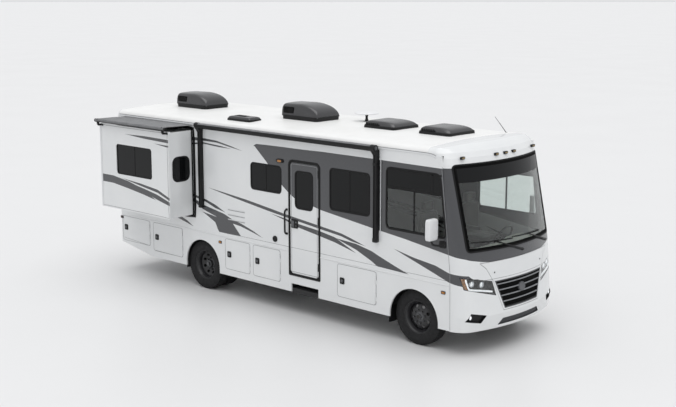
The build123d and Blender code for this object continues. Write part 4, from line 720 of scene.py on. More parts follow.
for body, tyre_node, rim_node, axle_x, side, middles, dished in WHEELS:
    piece("tread_" + tyre_node, [tyre(axle_x, side * m, side) for m in middles], tyre_rubber, body, (tyre_node,),
          sharp=28)
    outer = side * middles[0]
    shells = rim(axle_x, outer, side, dished)
    if dished:
        shells += rim(axle_x, side * middles[1], -side, True)
    piece("wheel_" + rim_node, shells, wheel_black, body, (rim_node,), sharp=40)
    piece("flange_" + rim_node, [turned_out(FLANGE, (axle_x, outer, AXLE_Z), side, 72)], hub_steel, body)
    disc_face = SUNK_DISC[0, 1] if dished else RAISED_DISC[0, 1]
    hub_centre = (axle_x, outer + side * disc_face, AXLE_Z)
    shells = [turned_out(REAR_HUB if dished else FRONT_HUB, hub_centre, side, 48)]
    if dished:
        shells += ring_of(HUB_BOLT, (axle_x, hub_centre[1] + side * 0.066, AXLE_Z), side, 0.056)
    piece("hub_" + rim_node, shells, hub_steel, body)
    piece("nuts_" + rim_node, ring_of(NUT, hub_centre, side, BOLT_RING, phase=0.25), hub_steel, body, sharp=25)
    valve = np.array(VALVE) * (1, side, 1) + (axle_x, outer, AXLE_Z)
    piece("valve_" + rim_node, [tube(smoothed(valve, 8), 0.004, 8, (1, 0, 0))], rubber, body, slot="tyre_rubber")


# Windows

FRAME_SECTION = ((-0.016, -0.022), (-0.016, 0.001), (-0.011, 0.0055), (0.007, 0.0063), (0.0125, 0.005),
                 (0.015, 0.0005), (0.0, -0.001))


def window(name, node_name, outline, place, body="coach", glass=dark_glass, bars=(), corner=0.075):
    """A window: a black frame carried round the outline, a pane sunk 5 mm inside it, and bars across it."""
    outline = rounded(outline, corner, 8)
    piece(name + "_frame", [moulding(outline, FRAME_SECTION, place)], frame_black, body, (node_name,))
    piece(name + "_glass", [plate(grown(outline, -0.014), -0.012, -0.005, place)], glass, body, (node_name,))
    if bars:
        piece(name + "_bars", [plate(bar, -0.014, 0.001, place, 0.003) for bar in bars], frame_black, body,
              (node_name,))


def sliding(x0, x1, z0, z1, rail=0.011, inset=0.014):
    """The bars of a sliding window: a post in the middle and a thin sash round the front half."""
    middle = (x0 + x1) / 2
    return (oblong(middle - rail, middle + rail, z0, z1), oblong(middle, x1, z0 + inset, z0 + inset + rail),
            oblong(middle, x1, z1 - inset - rail, z1 - inset))


SLIDING_WINDOWS = (  # name, node, place, body, ends and heights
    ("window_right_rear", "cabin_windows", on_right, "coach", -3.860, -3.080, 2.157, 2.637),
    ("window_right_front", "cabin_windows", on_right, "coach", -1.880, -0.980, 2.035, 2.745),
    ("window_left_rear", "cabin_windows", on_left, "coach", -7.080, -5.950, 2.140, 2.735),
    ("window_left_middle", "cabin_windows", on_left, "coach", -4.543, -3.275, 2.140, 2.735),
    ("window_left_front", "cabin_windows", on_left, "coach", -2.219, -0.980, 2.035, 2.745),
    ("window_room", "slide_windows", on_room, "slide_room", -7.09, -5.98, 2.14, 2.735),
)
for name, node_name, place, body, *ends in SLIDING_WINDOWS:
    window(name, node_name, oblong(*ends), place, body, bars=sliding(*ends))
window("window_rear", "cabin_windows", oblong(-0.52, 0.52, 2.08, 2.64), on_rear)
window("window_room_end", "slide_windows", oblong(-1.775, -1.380, 2.14, 2.60),
       lambda u, v, w: (-5.4885 + w + 0 * u, u, v), "slide_room", corner=0.13)
window("window_door", "entry_door_window", oblong(-2.720, -2.298, 1.945, 2.606), on_right, "entry_door",
       corner=0.09)
CAB_WINDOW = np.array([(-0.610, 1.895), (0.631, 1.895), (0.497, 2.905), (-0.610, 2.905)])
CAB_BARS = (oblong(-0.605, 0.530, 2.560, 2.606), oblong(-0.040, -0.008, 1.90, 2.57),
            oblong(0.330, 0.358, 2.60, 2.90), oblong(-0.605, 0.530, 2.868, 2.900),
            oblong(-0.605, 0.600, 1.902, 1.924))
CAB_UPPER = rounded(oblong(-0.594, 0.515, 2.598, 2.890), 0.03)
for name, place in (("window_cab_right", on_right), ("window_cab_left", on_left)):
    window(name, "cab_windows", CAB_WINDOW, place, glass=cab_glass, bars=CAB_BARS, corner=0.1)
    piece(name + "_upper", [plate(CAB_UPPER, -0.0045, -0.0035, place)], dark_glass, stands_for=("cab_windows",))

# The windshield's rubber, the black border printed inside it and the shade band along its top: tinted privacy glass
# whose near-black also paints the shade of the cab's ceiling behind it
WINDSHIELD = evened(rounded([(-1.125, 1.688), (1.125, 1.688), (1.155, 3.046), (-1.155, 3.046)], 0.07, 8), 0.05)
WIND_SEAL = ((-0.014, -0.006), (-0.012, 0.003), (-0.004, 0.007), (0.006, 0.0065), (0.012, 0.002),
             (0.010, -0.006))
BORDER = ((-0.055, 0.0004), (-0.055, 0.0012), (-0.004, 0.0012), (-0.004, 0.0004))
SHADE_BAND = ((-1.10, 2.765), (1.10, 2.765), (1.115, 3.000), (-1.115, 3.000))
piece("windshield_seal", [moulding(WINDSHIELD, WIND_SEAL, on_cap)], rubber)
piece("windshield_border", [moulding(WINDSHIELD, BORDER, on_cap)], shade_and_print_black, slot="black_rubber")
# The band is tinted glass, and its near-black is also painted shade of the cab's ceiling
piece("windshield_shade_band", slab(SHADE_BAND, on_cap, 0.0003, 0.0008, 6, 60), dark_glass)


# Roof

def roof_z(y):
    """Height of the roof's skin, a shallow arc across the coach."""
    return ROOF_HEIGHT - 0.050 * (np.asarray(y) / HALF_WIDTH)**2


def above(foot):
    """A place over the roof: u forward, v to the left, w up from a foot."""
    return lambda u, v, w: (u, v, foot + w + 0 * u)


def shroud(rear, front, half, foot, head):
    """An air conditioner's cover: a section with steep sides and a nearly flat top, carried forward. Its height
    rises steeply at the back, holds over the first half, and falls in a quarter oval to a low nose."""
    share = np.concatenate([np.linspace(0, 0.05, 7), np.linspace(0.09, 0.46, 10), np.linspace(0.48, 0.985, 24),
                            [1.0]])
    rise = (0.82 + 0.18 * np.sqrt(1 - (1 - np.clip(share / 0.05, 0, 1))**2)
            - 0.05 * (1 - np.clip(share / 0.45, 0, 1)))
    fall = np.clip((share - 0.42) / 0.58, 0, 1)
    tall = (rise * (0.10 + 0.90 * np.sqrt(np.maximum(1 - fall**2.2, 0))))[:, None]
    wide = 1 - 0.05 * np.clip((share - 0.8) / 0.2, 0, 1)**2 - 0.03 * (1 - np.clip(share / 0.06, 0, 1))**2
    angle = np.linspace(0, np.pi, 57)
    across = np.sign(np.cos(angle)) * np.abs(np.cos(angle))**0.20
    up = np.abs(np.sin(angle))**0.30
    x = (rear + share * (front - rear))[:, None] + 0 * across
    rows = np.stack([x, half * wide[:, None] * across * (1 - 0.07 * up * tall),
                     foot + (head - foot) * tall * (up * (0.94 + 0.06 * (1 - across**2)))], axis=-1)
    middle = rows.mean(axis=1, keepdims=True) * (1, 0, 0) + np.array([0, 0, foot])
    closed = np.concatenate([0 * rows[:1] + middle[:1], rows, 0 * rows[-1:] + middle[-1:]])
    return grid(closed, round_columns=True)


def pan(rear, front, half, foot, head, tuck=0.02):
    """The tray under a cover: an upright rounded wall that leans in towards the roof."""
    outline, middle = rounded(oblong(rear, front, -half, half), 0.10, 8), (rear + front) / 2
    return plate(outline, 0, 1, lambda u, v, w: (
        middle + (u - middle) * (1 - tuck * (1 - w)), v * (1 - tuck * (1 - w)),
        foot + (head - foot) * w + 0 * u), 0.01)


AIR_CONDITIONERS = (("rear", -7.140, -6.205, 3.640), ("front", -4.060, -3.115, 3.648))
COVER_HALF = 0.322
cover_foot = float(roof_z(COVER_HALF))
cover = dict(stands_for=("roof_air_conditioners",), slot="charcoal_plastic")
for name, rear, front, head in AIR_CONDITIONERS:
    shell = shroud(rear + 0.012, front - 0.014, COVER_HALF - 0.010, cover_foot + 0.060, head)
    piece("air_conditioner_" + name, [shell], charcoal_abs, sharp=38, **cover)
    # The recesses are black blocks behind the covers' louvres: painted shade
    recess, slats = [], []
    for side in (-1, 1):
        wall = side * (COVER_HALF - 0.021)
        recess.append(block((rear + 0.055, wall - 0.006, cover_foot + 0.105),
                            (rear + 0.330, wall + 0.006, head - 0.075), 0.16, 12))
        y = wall + side * 0.004
        slats += [block((x, y - 0.005, cover_foot + 0.110), (x + 0.012, y + 0.005, head - 0.080), 0.3, 8, 16)
                  for x in rear + np.linspace(0.065, 0.305, 9)]
    recess.append(block((rear + 0.004, -0.24, cover_foot + 0.100), (rear + 0.018, 0.24, head - 0.070), 0.16, 12))
    slats += [block((rear, y, cover_foot + 0.108), (rear + 0.012, y + 0.012, head - 0.078), 0.3, 8, 16)
              for y in np.linspace(-0.225, 0.213, 13)]
    piece("air_conditioner_recess_" + name, recess, shade_and_print_black, **cover)
    piece("air_conditioner_louvres_" + name, slats, black_abs, **cover)
    piece("air_conditioner_pan_" + name, [pan(rear, front, COVER_HALF, cover_foot - 0.004, cover_foot + 0.078)],
          black_abs, **cover)


def hood_lid(rear, front, right, left, foot, head, flat=0.55, nose=0.25):
    """A roof vent's hooded cover: level at the back, falling in an arc to the front, its edges rolled down."""
    u = np.linspace(-1, 1, 33)[:, None]
    v = np.linspace(-1, 1, 33)[None, :]
    fall = np.clip(((u + 1) / 2 - flat) / (1 - flat), 0, 1)
    tall = 1 - (1 - nose) * (1 - np.sqrt(np.maximum(1 - fall**2, 0)))
    edge = np.maximum(1 - np.abs(u)**14, 0)**0.35 * np.maximum(1 - np.abs(v)**10, 0)**0.35
    x = (rear + front) / 2 + (front - rear) / 2 * u * (1 - 0.02 * edge) + 0 * v
    y = (right + left) / 2 + (left - right) / 2 * v * (1 - 0.05 * edge) + 0 * u
    top_points, top_faces = grid(np.stack([x, y, foot + (head - foot) * tall * edge], axis=-1))
    under_points, under_faces = grid(np.stack([x, y, np.full_like(x, foot)], axis=-1))
    return (np.concatenate([top_points, under_points]),
            top_faces + [[corner + len(top_points) for corner in face[::-1]] for face in under_faces])


VENTS = (("rear", -2.04, -1.32, -0.265, 0.425), ("front", -0.80, -0.12, -0.257, 0.465))
VENT_RIM = ((-0.030, 0.0), (-0.030, 0.05), (-0.018, 0.056), (-0.004, 0.050), (0.0, 0.040), (0.004, 0.008),
            (0.004, 0.0))
vented = dict(stands_for=("roof_vents",))
vent_foot = float(roof_z(0.3)) - 0.004
for name, rear, front, right, left in VENTS:
    lid = hood_lid(rear + 0.02, front - 0.02, right + 0.02, left - 0.02, vent_foot + 0.045, 3.470)
    piece("vent_lid_" + name, [lid], charcoal_abs, sharp=45, **vented)
    rail = rounded(oblong(rear, front, right, left), 0.06, 6)
    piece("vent_rim_" + name, [moulding(rail, VENT_RIM, above(vent_foot))], black_abs, **vented)
    slats = [block((x, right + 0.006, vent_foot + 0.056), (x + 0.03, right + 0.024, vent_foot + 0.098), 0.3, 8, 12)
             for x in rear + 0.06 + 0.05 * np.arange(6)]
    piece("vent_slats_" + name, slats, black_abs, **vented)

SKYLIGHT = rounded(oblong(-4.808, -4.165, -1.020, -0.690), 0.06, 6)
SKYLIGHT_RIM = ((-0.028, 0.0), (-0.028, 0.042), (-0.016, 0.046), (-0.003, 0.040), (0.0, 0.0))
SKYLIGHT_PANE = rounded(oblong(-4.700, -4.400, -0.930, -0.780), 0.02)
sky_foot = float(roof_z(1.02)) - 0.004
lid = hood_lid(-4.790, -4.183, -1.004, -0.706, sky_foot + 0.028, sky_foot + 0.085, 0.9, 0.8)
piece("skylight_lid", [lid], charcoal_abs, sharp=45, **vented)
piece("skylight_rim", [moulding(SKYLIGHT, SKYLIGHT_RIM, above(sky_foot))], black_abs, **vented)
# The skylight's pane is a black plate: painted shade of the inside seen through it
piece("skylight_pane", [plate(SKYLIGHT_PANE, 0.0, 0.004, above(sky_foot + 0.083))], shade_and_print_black,
      slot="charcoal_plastic", **vented)

DISH_X, DISH_Y, DISH_Z = -2.589, 0.450, 3.487
DISH = ((0.0, 0.030), (0.12, 0.029), (0.19, 0.024), (0.222, 0.012), (0.229, 0.002), (0.222, -0.006),
        (0.17, -0.016), (0.10, -0.024), (0.0, -0.026))
DISH_POST = ((0.0, 0.14), (0.026, 0.14), (0.030, 0.115), (0.022, 0.085), (0.024, 0.05), (0.034, 0.03),
             (0.036, 0.010), (0.060, 0.006), (0.062, 0.0), (0.0, 0.0))
WHIP = ((0.097, 1.053, 3.300), (0.060, 1.053, 3.345), (-0.045, 1.053, 3.455), (-0.150, 1.053, 3.565))
WHIP_FOOT = ((0.0, 0.030), (0.010, 0.030), (0.016, 0.018), (0.024, 0.006), (0.026, 0.0), (0.0, 0.0))
piece("antenna_disc", [turned(DISH, (DISH_X, DISH_Y, DISH_Z), "z", 64)], white_abs, **vented)
piece("antenna_post", [turned(DISH_POST, (DISH_X, DISH_Y, float(roof_z(DISH_Y)) - 0.003), "z", 40)], black_abs,
      **vented)
taper = ring_section(0.008, 10)[None] * np.linspace(1, 0.4, 24)[:, None, None]
piece("whip_antenna", [along_path(smoothed(WHIP, 24), taper), turned(WHIP_FOOT, (0.105, 1.053, 3.285), "z", 24)],
      black_abs)


# Front face

def walls_of(outline, depth, place=on_cap, thick=0.005, corner=0.02):
    """The side walls of a sunk box under an outline."""
    section = ((0, -0.001), (0, -depth), (-thick, -depth), (-thick, -0.001))
    return moulding(evened(rounded(outline, corner)), section, place)


GRILLE = np.array([(-0.455, 0.712), (0.455, 0.712), (0.645, 1.181), (-0.645, 1.181)])
GRILLE_BARS = (0.822, 0.920, 1.019, 1.116)  # heights
BAR = ((-0.012, -0.007), (0.004, -0.010), (0.010, -0.007), (0.012, 0.0), (0.010, 0.007), (0.004, 0.010),
       (-0.012, 0.007))
GRILLE_RING = ((0.0, -0.022), (0.0, 0.001), (-0.003, 0.003), (-0.010, 0.003), (-0.014, -0.001), (-0.014, -0.022))
GRILLE_LIP = ((-0.014, -0.022), (-0.014, -0.002), (-0.030, -0.003), (-0.032, -0.022))
DISC_BEAD = ((-0.003, 0.011), (0.0, 0.0145), (0.003, 0.011))
HOOD_STOP = ((0.0, 0.007), (0.009, 0.006), (0.013, 0.002), (0.013, -0.004), (0.0, -0.004))
on_hood = dict(body="hood", stands_for=("grille",))
rail = evened(rounded(GRILLE, 0.03))
# A black sheet behind the grille's bars: painted shade in the opening
piece("grille_back", slab(GRILLE, on_cap, -0.026, -0.020, 10, 32), shade_and_print_black, **on_hood)
piece("grille_lip", [moulding(rail, GRILLE_LIP, on_cap)], black_abs, **on_hood)
piece("grille_ring", [moulding(rail, GRILLE_RING, on_cap)], graphite_trim, **on_hood)
bars = []
for z in GRILLE_BARS:
    y = np.linspace(-1, 1, 41) * (0.435 + (z - 0.712) * 0.405)
    bars.append(along_path(np.stack(on_cap(y, z + 0 * y, -0.010), axis=-1), BAR))
piece("grille_bars", bars, satin_silver, sharp=50, **on_hood)
FULL_TURN = np.linspace(0, 2 * np.pi, 49)[:-1]
badge = np.stack([0.088 * np.cos(FULL_TURN), 0.990 + 0.076 * np.sin(FULL_TURN)], axis=-1)
piece("grille_disc", [plate(badge, -0.020, 0.012, on_cap, 0.005), moulding(grown(badge, -0.010), DISC_BEAD, on_cap)],
      graphite_trim, **on_hood)
piece("hood_stops", [turned(HOOD_STOP, (float(cap_x(y, 1.32)), y, 1.32), "x", 20) for y in (-0.640, 0.640)],
      black_abs, "hood")

# Corners and lines of the right side's lamps, as (Y, Z)
HEADLAMP = np.array([(-1.235, 1.300), (-1.200, 1.100), (-0.628, 0.945), (-0.700, 1.190)])
AMBER = np.array([(-1.222, 1.283), (-1.194, 1.112), (-1.136, 1.097), (-1.166, 1.268)])
LIGHT_BAR = np.array([(-1.160, 1.262), (-1.146, 1.190), (-1.122, 1.108), (-1.070, 1.086), (-0.880, 1.052),
                      (-0.690, 1.014)])
STRIP = np.linspace((-1.02, 1.030), (-0.655, 0.964), 12)
BULBS = ((-1.060, 1.178), (-0.883, 1.150))
BEZEL = np.array([(0.050, -0.040), (0.058, -0.010), (0.056, 0.004), (0.049, 0.008), (0.043, 0.002),
                  (0.040, -0.030), (0.050, -0.040)])
BULB = ((0.0, 0.004), (0.020, 0.001), (0.034, -0.007), (0.042, -0.020), (0.0, -0.022))
FOG_LAMP = np.array([(-1.120, 0.715), (-1.200, 0.585), (-0.930, 0.531), (-0.840, 0.6535)])
FOG_FILLER = np.array([(-0.840, 0.6535), (-0.930, 0.531), (-0.850, 0.515), (-0.710, 0.625)])
FOG_BULB = (-1.108, 0.641)
INTAKE = np.array([(-0.581, 0.447), (0.581, 0.447), (0.480, 0.550), (-0.480, 0.550)])
SIDES = (("right", 1, np.asarray), ("left", -1, mirrored))  # name, sign on Y, how an outline is turned over
lamp = dict(stands_for=("headlamps",))
for name, sign, turn_over in SIDES:
    shape = turn_over(HEADLAMP)
    piece("headlamp_housing_" + name, slab(shape, on_cap, -0.070, -0.064) + [walls_of(shape, 0.066)], black_abs,
          **lamp)
    piece("headlamp_cover_" + name, slab(shape, on_cap, -0.006, -0.002, 8, 24), lens_glass, **lamp)
    piece("headlamp_turn_" + name, slab(turn_over(AMBER), on_cap, -0.050, -0.012), amber_lens, **lamp)
    places = [(float(cap_x(y, z)) - 0.032, y * sign, z) for y, z in BULBS]
    piece("headlamp_bezels_" + name, [turned(BEZEL, place, "x", 36) for place in places], bright_trim, **lamp)
    piece("headlamp_bulbs_" + name, [turned(BULB, place, "x", 36) for place in places], white_lens, **lamp)
    bar = np.stack(on_cap(*(smoothed(LIGHT_BAR, 40) * (sign, 1)).T, -0.024), axis=-1)
    strip = np.stack(on_cap(*(STRIP * (sign, 1)).T, -0.020), axis=-1)
    piece("headlamp_light_bar_" + name, [tube(bar, 0.0165, 10, (1, 0, 0))], white_lens, **lamp)
    piece("headlamp_strip_" + name, [tube(strip, 0.005, 8, (1, 0, 0))], bright_trim, **lamp)
    shape = turn_over(FOG_LAMP)
    piece("fog_housing_" + name, slab(shape, on_cap, -0.045, -0.038) + [walls_of(shape, 0.040)], black_abs, **lamp)
    place = (float(cap_x(1.110, FOG_BULB[1])) - 0.030, FOG_BULB[0] * sign, FOG_BULB[1])
    piece("fog_bezel_" + name, [turned(BEZEL * (0.9, 0.8), place, "x", 32)], black_abs, **lamp)
    piece("fog_bulb_" + name, [turned(BULB, place, "x", 32)], white_lens, **lamp)
    piece("fog_surround_" + name, slab(turn_over(FOG_FILLER), on_cap, -0.030, 0.0), body_paint, **lamp)
piece("intake_mesh", slab(INTAKE, on_cap, -0.028, -0.020, 6, 40) + [walls_of(INTAKE, 0.024)], intake_grey, **lamp)


# Lamps, mirrors and wipers

def boxes(places, low, high, edge, rows, columns):
    """Rounded blocks of one shape, set at several places."""
    return [block(np.array(place) + low, np.array(place) + high, edge, rows, columns) for place in places]


BROW_Z, REAR_BROW_Z, WALL = 3.151, 3.149, -HALF_WIDTH
BROW_LAMPS = [(x, y, BROW_Z) for y, x in ((0.0, 0.832), (0.24, 0.823), (-0.24, 0.823), (0.974, 0.701),
                                          (-0.974, 0.701))]
REAR_LAMPS = [(REAR_X, y, REAR_BROW_Z) for y in np.linspace(-0.898, 0.898, 5)]
marks = dict(stands_for=("body_lamps",))
piece("brow_lamps", boxes(BROW_LAMPS, (-0.030, -0.038, -0.014), (0.024, 0.038, 0.014), 0.5, 12, 24), smoked_lens,
      **marks)
piece("brow_lamp_feet", boxes(BROW_LAMPS, (-0.030, -0.051, -0.023), (0.014, 0.051, 0.023), 0.4, 10, 24),
      black_abs, **marks)
piece("rear_lamps", boxes(REAR_LAMPS, (-0.018, -0.045, -0.017), (0.006, 0.045, 0.017), 0.5, 12, 24), red_lens,
      **marks)
TAIL_RIM = ((0.0, -0.02), (0.001, 0.007), (-0.004, 0.009), (-0.010, 0.006), (-0.010, -0.02))
TAIL_LENSES = (("turn", 0.916, 1.060, amber_lens), ("reverse", 1.066, 1.160, white_lens),
               ("stop", 1.166, 1.404, red_lens))
for name, _, turn_over in SIDES:
    shape = evened(rounded(turn_over(oblong(-1.21, -1.06, 0.90, 1.42)), 0.025), 0.05)
    piece("tail_lamp_frame_" + name, [moulding(shape, TAIL_RIM, on_rear),
                                      plate(grown(shape, -0.008), -0.02, -0.004, on_rear)], black_abs, **marks)
    for part, low, high, look in TAIL_LENSES:
        lens = rounded(turn_over(oblong(-1.198, -1.072, low, high)), 0.015)
        piece(f"tail_lamp_{part}_{name}", [plate(lens, -0.006, 0.009, on_rear, 0.006)], look, slot="lamp_amber",
              **marks)
for name, look, places in (("side", amber_lens, ((0.597, 1.016), (-4.742, 1.017))),
                           ("side_rear", dark_red_lens, ((-7.790, 1.085),))):
    spots = [(x, side * HALF_WIDTH, z) for side in (-1, 1) for x, z in places]
    piece(name + "_marker_feet", boxes(spots, (-0.046, -0.010, -0.027), (0.046, 0.010, 0.027), 0.4, 10, 28),
          black_abs)
    piece(name + "_marker_lenses", boxes(spots, (-0.036, -0.014, -0.018), (0.036, 0.014, 0.018), 0.5, 10, 28),
          look)
piece("porch_lamp_housing", [block((-3.186, WALL - 0.030, 2.712), (-3.006, WALL + 0.012, 2.782), 0.62, 14, 36)],
      black_abs)
piece("porch_lamp_lens", [block((-3.150, WALL - 0.037, 2.722), (-3.042, WALL - 0.005, 2.768), 0.75, 14)],
      amber_lens)

# The right mirror's blocks and arm; the left one's are the same with Y turned over
MIRROR_ARM = np.array([(0.572, -1.292, 1.790), (0.548, -1.330, 1.782), (0.505, -1.400, 1.790),
                       (0.482, -1.442, 1.815), (0.475, -1.450, 1.860), (0.475, -1.450, 1.900)])
looking = dict(stands_for=("mirrors",))
for name, sign, _ in SIDES:
    def sided(low, high, *shape, sign=sign):
        """A rounded block given for the right side, on the side in hand."""
        ends = np.array([low, high]) * (1, sign, 1)
        return block(ends.min(axis=0), ends.max(axis=0), *shape)

    piece("mirror_housing_" + name, [sided((0.428, -1.570, 1.872), (0.524, -1.338, 2.218), 0.26, 20, 40)],
          white_abs, **looking)
    piece("mirror_rim_" + name, [sided((0.422, -1.567, 1.876), (0.448, -1.341, 2.214), 0.22, 12, 40)], black_abs,
          **looking)
    piece("mirror_glass_" + name, [sided((0.418, -1.556, low), (0.428, -1.352, high), 0.16, 12, 40)
                                   for low, high in ((1.975, 2.200), (1.890, 1.965))], mirror_glass, **looking)
    piece("mirror_arm_" + name, [tube(smoothed(MIRROR_ARM * (1, sign, 1), 30), 0.016, 14),
                                 sided((0.505, -1.300, 1.738), (0.636, -1.2825, 1.852), 0.35, 12, 32),
                                 sided((0.450, -1.478, 1.862), (0.500, -1.422, 1.892), 0.4, 10, 24)],
          black_abs, **looking)

WIPERS = (  # name, then (Y, Z) of the pivot, of the blade's middle, and of the blade's right and left ends
    ("right", (0.068, 1.590), (-0.600, 1.822), (-1.040, 1.836), (-0.160, 1.808)),
    ("left", (0.939, 1.593), (0.260, 1.815), (-0.170, 1.828), (0.690, 1.802)))
PIVOT = ((0.0, 0.024), (0.014, 0.022), (0.022, 0.012), (0.024, -0.006), (0.0, -0.006))
wiping = dict(stands_for=("wipers",), slot="black_rubber")
for name, pivot, middle, right, left in WIPERS:
    bow = np.sin(np.linspace(0, np.pi, 30))
    arm = np.stack(on_cap(*np.linspace(pivot, middle, 16).T, 0.020 + 0.020 * np.sin(np.linspace(0, np.pi, 16))),
                   axis=-1)
    taper = np.linspace(1.0, 0.55, 16)[:, None, None] * box_section(0.022, 0.030, 0.006)[None]
    y, z = np.linspace(right, left, 30).T
    blade = np.stack(on_cap(y, z, 0.013), axis=-1)
    carrier = np.stack(on_cap(y * 0.92 + middle[0] * 0.08, z, 0.026 + 0.006 * bow), axis=-1)
    foot = (float(cap_x(*pivot)) + 0.004, *pivot)
    piece("wiper_arm_" + name, [along_path(arm, taper), turned(PIVOT, foot, "x", 28)], black_abs, **wiping)
    piece("wiper_blade_" + name, [along_path(blade, box_section(0.016, 0.012, 0.003)),
                                  along_path(carrier, box_section(0.016, 0.018, 0.004))], rubber, **wiping)


# Awnings

def level(x0, x1, y, z, count):
    """A level run along the coach."""
    return np.linspace((x0, y, z), (x1, y, z), count)


def arc(radius, degrees):
    """Points of a circle about the origin at angles in degrees."""
    return radius * np.stack([np.cos(np.radians(degrees)), np.sin(np.radians(degrees))], axis=-1)


out = dict(stands_for=("awning",))
ROLL_Y, ROLL_Z, ARMS = -1.3775, 3.206, (-5.222, -0.806)
lap = 0.0505 + 0.0015 * np.maximum(np.cos(FULL_TURN - 2.4), 0)**8
roll = np.stack([lap * np.cos(FULL_TURN), lap * np.sin(FULL_TURN)], axis=-1)
spine = level(ARMS[0] + 0.030, ARMS[1] - 0.030, ROLL_Y, ROLL_Z, 24)
piece("awning_roll", [along_path(spine, roll)], awning_vinyl, **out)
# The lead rail is a thin shell round the roll's lower front, with a bead along its edge
shell = np.linspace(165, 385, 26)
case = np.concatenate([arc(0.0555, shell), arc(0.0525, shell)[::-1]])
bead = arc(0.0535, 25) + arc(0.006, np.degrees(FULL_TURN[::4]))
piece("awning_lead_rail", [along_path(spine, case), along_path(spine, bead)], awning_black, sharp=50, **out)
CHANNEL = ((-0.040, -0.038), (0.040, -0.038), (0.040, 0.030), (0.034, 0.036), (0.020, 0.036), (0.017, 0.026),
           (-0.017, 0.026), (-0.020, 0.036), (-0.034, 0.036), (-0.040, 0.030))
ROLL_CAP = ((0.0, -0.054), (0.022, -0.054), (0.030, -0.050), (0.032, -0.046), (0.032, 0.046), (0.030, 0.050),
            (0.022, 0.054), (0.0, 0.054))
angle = np.radians(np.linspace(-50, 205, 30))
bracket = np.concatenate([np.stack([ROLL_Y - 0.060 * np.cos(angle), ROLL_Z + 0.056 * np.sin(angle)], axis=-1),
                          [(-1.283, 3.170), (-1.283, 3.060), (-1.325, 3.050)]])


def across_coach(x):
    """Across the coach at an X: u to the left, v up, w forwards."""
    return lambda u, v, w: (x + w + 0 * u, u, v)


for name, x in zip(("rear", "front"), ARMS):
    upright = np.array([(x, -1.3215, z) for z in (1.645, 2.4, 3.11)])
    piece("awning_arm_" + name, [along_path(upright, CHANNEL, (0, -1, 0)),
                                 block((x - 0.045, -1.364, 1.625), (x + 0.045, -1.2825, 1.700), 0.25, 12, 28),
                                 block((x - 0.044, -1.364, 2.905), (x + 0.044, -1.2825, 2.965), 0.25, 12, 28)],
          awning_black, sharp=50, **out)
    piece("awning_bracket_" + name, [plate(bracket, -0.046, 0.046, across_coach(x), 0.004)], awning_black, **out)
    piece("awning_cap_" + name, [turned(ROLL_CAP, (x, ROLL_Y, ROLL_Z), "x", 40)], graphite_trim,
          slot="awning_metal", **out)
piece("wall_trim_line", [plate(oblong(-0.742, -0.726, 1.70, 3.16), 0.0, 0.006, on_right, 0.002)], trim_white)

# The topper's roller rides on the room, and its cloth joins the wall to the roller
TOP_X, TOP_Y, TOP_Z, TOP_RADIUS = (-7.632, -5.437), -1.969, 3.163, 0.0325
RAIL_Y, RAIL_Z = -1.2835, 3.180
HOLDER = np.array([(-2.001, 3.160), (-1.995, 3.190), (-1.972, 3.200), (-1.948, 3.190), (-1.944, 3.150),
                   (-1.950, 3.095), (-1.889, 3.080), (-1.889, 3.055), (-1.965, 3.060), (-1.985, 3.085)])
TOP_END = ((0.0, -0.014), (0.028, -0.014), (0.0335, -0.010), (0.0335, 0.010), (0.028, 0.014), (0.0, 0.014))
rolled = dict(body="slide_room", stands_for=("topper_roller",))
spine = level(TOP_X[0] + 0.03, TOP_X[1] - 0.03, TOP_Y, TOP_Z, 20)
piece("topper_tube", [along_path(spine, ring_section(TOP_RADIUS, 40))], awning_black, **rolled)
for name, end_x, holder_x in (("rear", -7.619, -7.5456), ("front", -5.450, -5.5284)):
    piece("topper_end_" + name, [turned(TOP_END, (end_x, TOP_Y, TOP_Z), "x", 36)], black_abs, **rolled)
    foot = oblong(holder_x - 0.060, holder_x + 0.060, 3.056, 3.086)
    piece("topper_holder_" + name, [plate(HOLDER, -0.016, 0.016, across_coach(holder_x), 0.003),
                                    plate(foot, 0.0175, 0.032, on_room, 0.004)], black_abs, **rolled)


def canopy(x0, x1, columns=40):
    """The topper's cloth: pulled from the wall's rail to the roller with a slight sag and a faint ripple, and
    a quarter turn round the roller."""
    share, bend = np.linspace(0, 1, 28), np.linspace(0.12, 1.9, 12)
    y = np.concatenate([RAIL_Y + (TOP_Y - RAIL_Y) * share, TOP_Y - TOP_RADIUS * np.sin(bend)])
    z = np.concatenate([RAIL_Z + (TOP_Z + TOP_RADIUS - RAIL_Z) * share, TOP_Z + TOP_RADIUS * np.cos(bend)])
    x = np.linspace(x0, x1, columns)[:, None]
    sag = np.concatenate([np.sin(share * np.pi)**0.8, np.zeros(12)])
    ends = 1 - np.abs(2 * (x - x0) / (x1 - x0) - 1)**6
    ripple = 0.0012 * np.sin(x * 23) * np.sin(y * 9)
    return grid(np.stack([x + 0 * y, y + 0 * x, z - (0.010 * ends + ripple) * sag], axis=-1))


cloth = piece("topper_cloth", [canopy(-7.600, -5.470)], topper_vinyl, None, ("topper_fabric",))
solid = cloth.modifiers.new("thickness", "SOLIDIFY")
solid.thickness, solid.offset = 0.0012, 1.0
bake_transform(cloth)


# Slide-out room

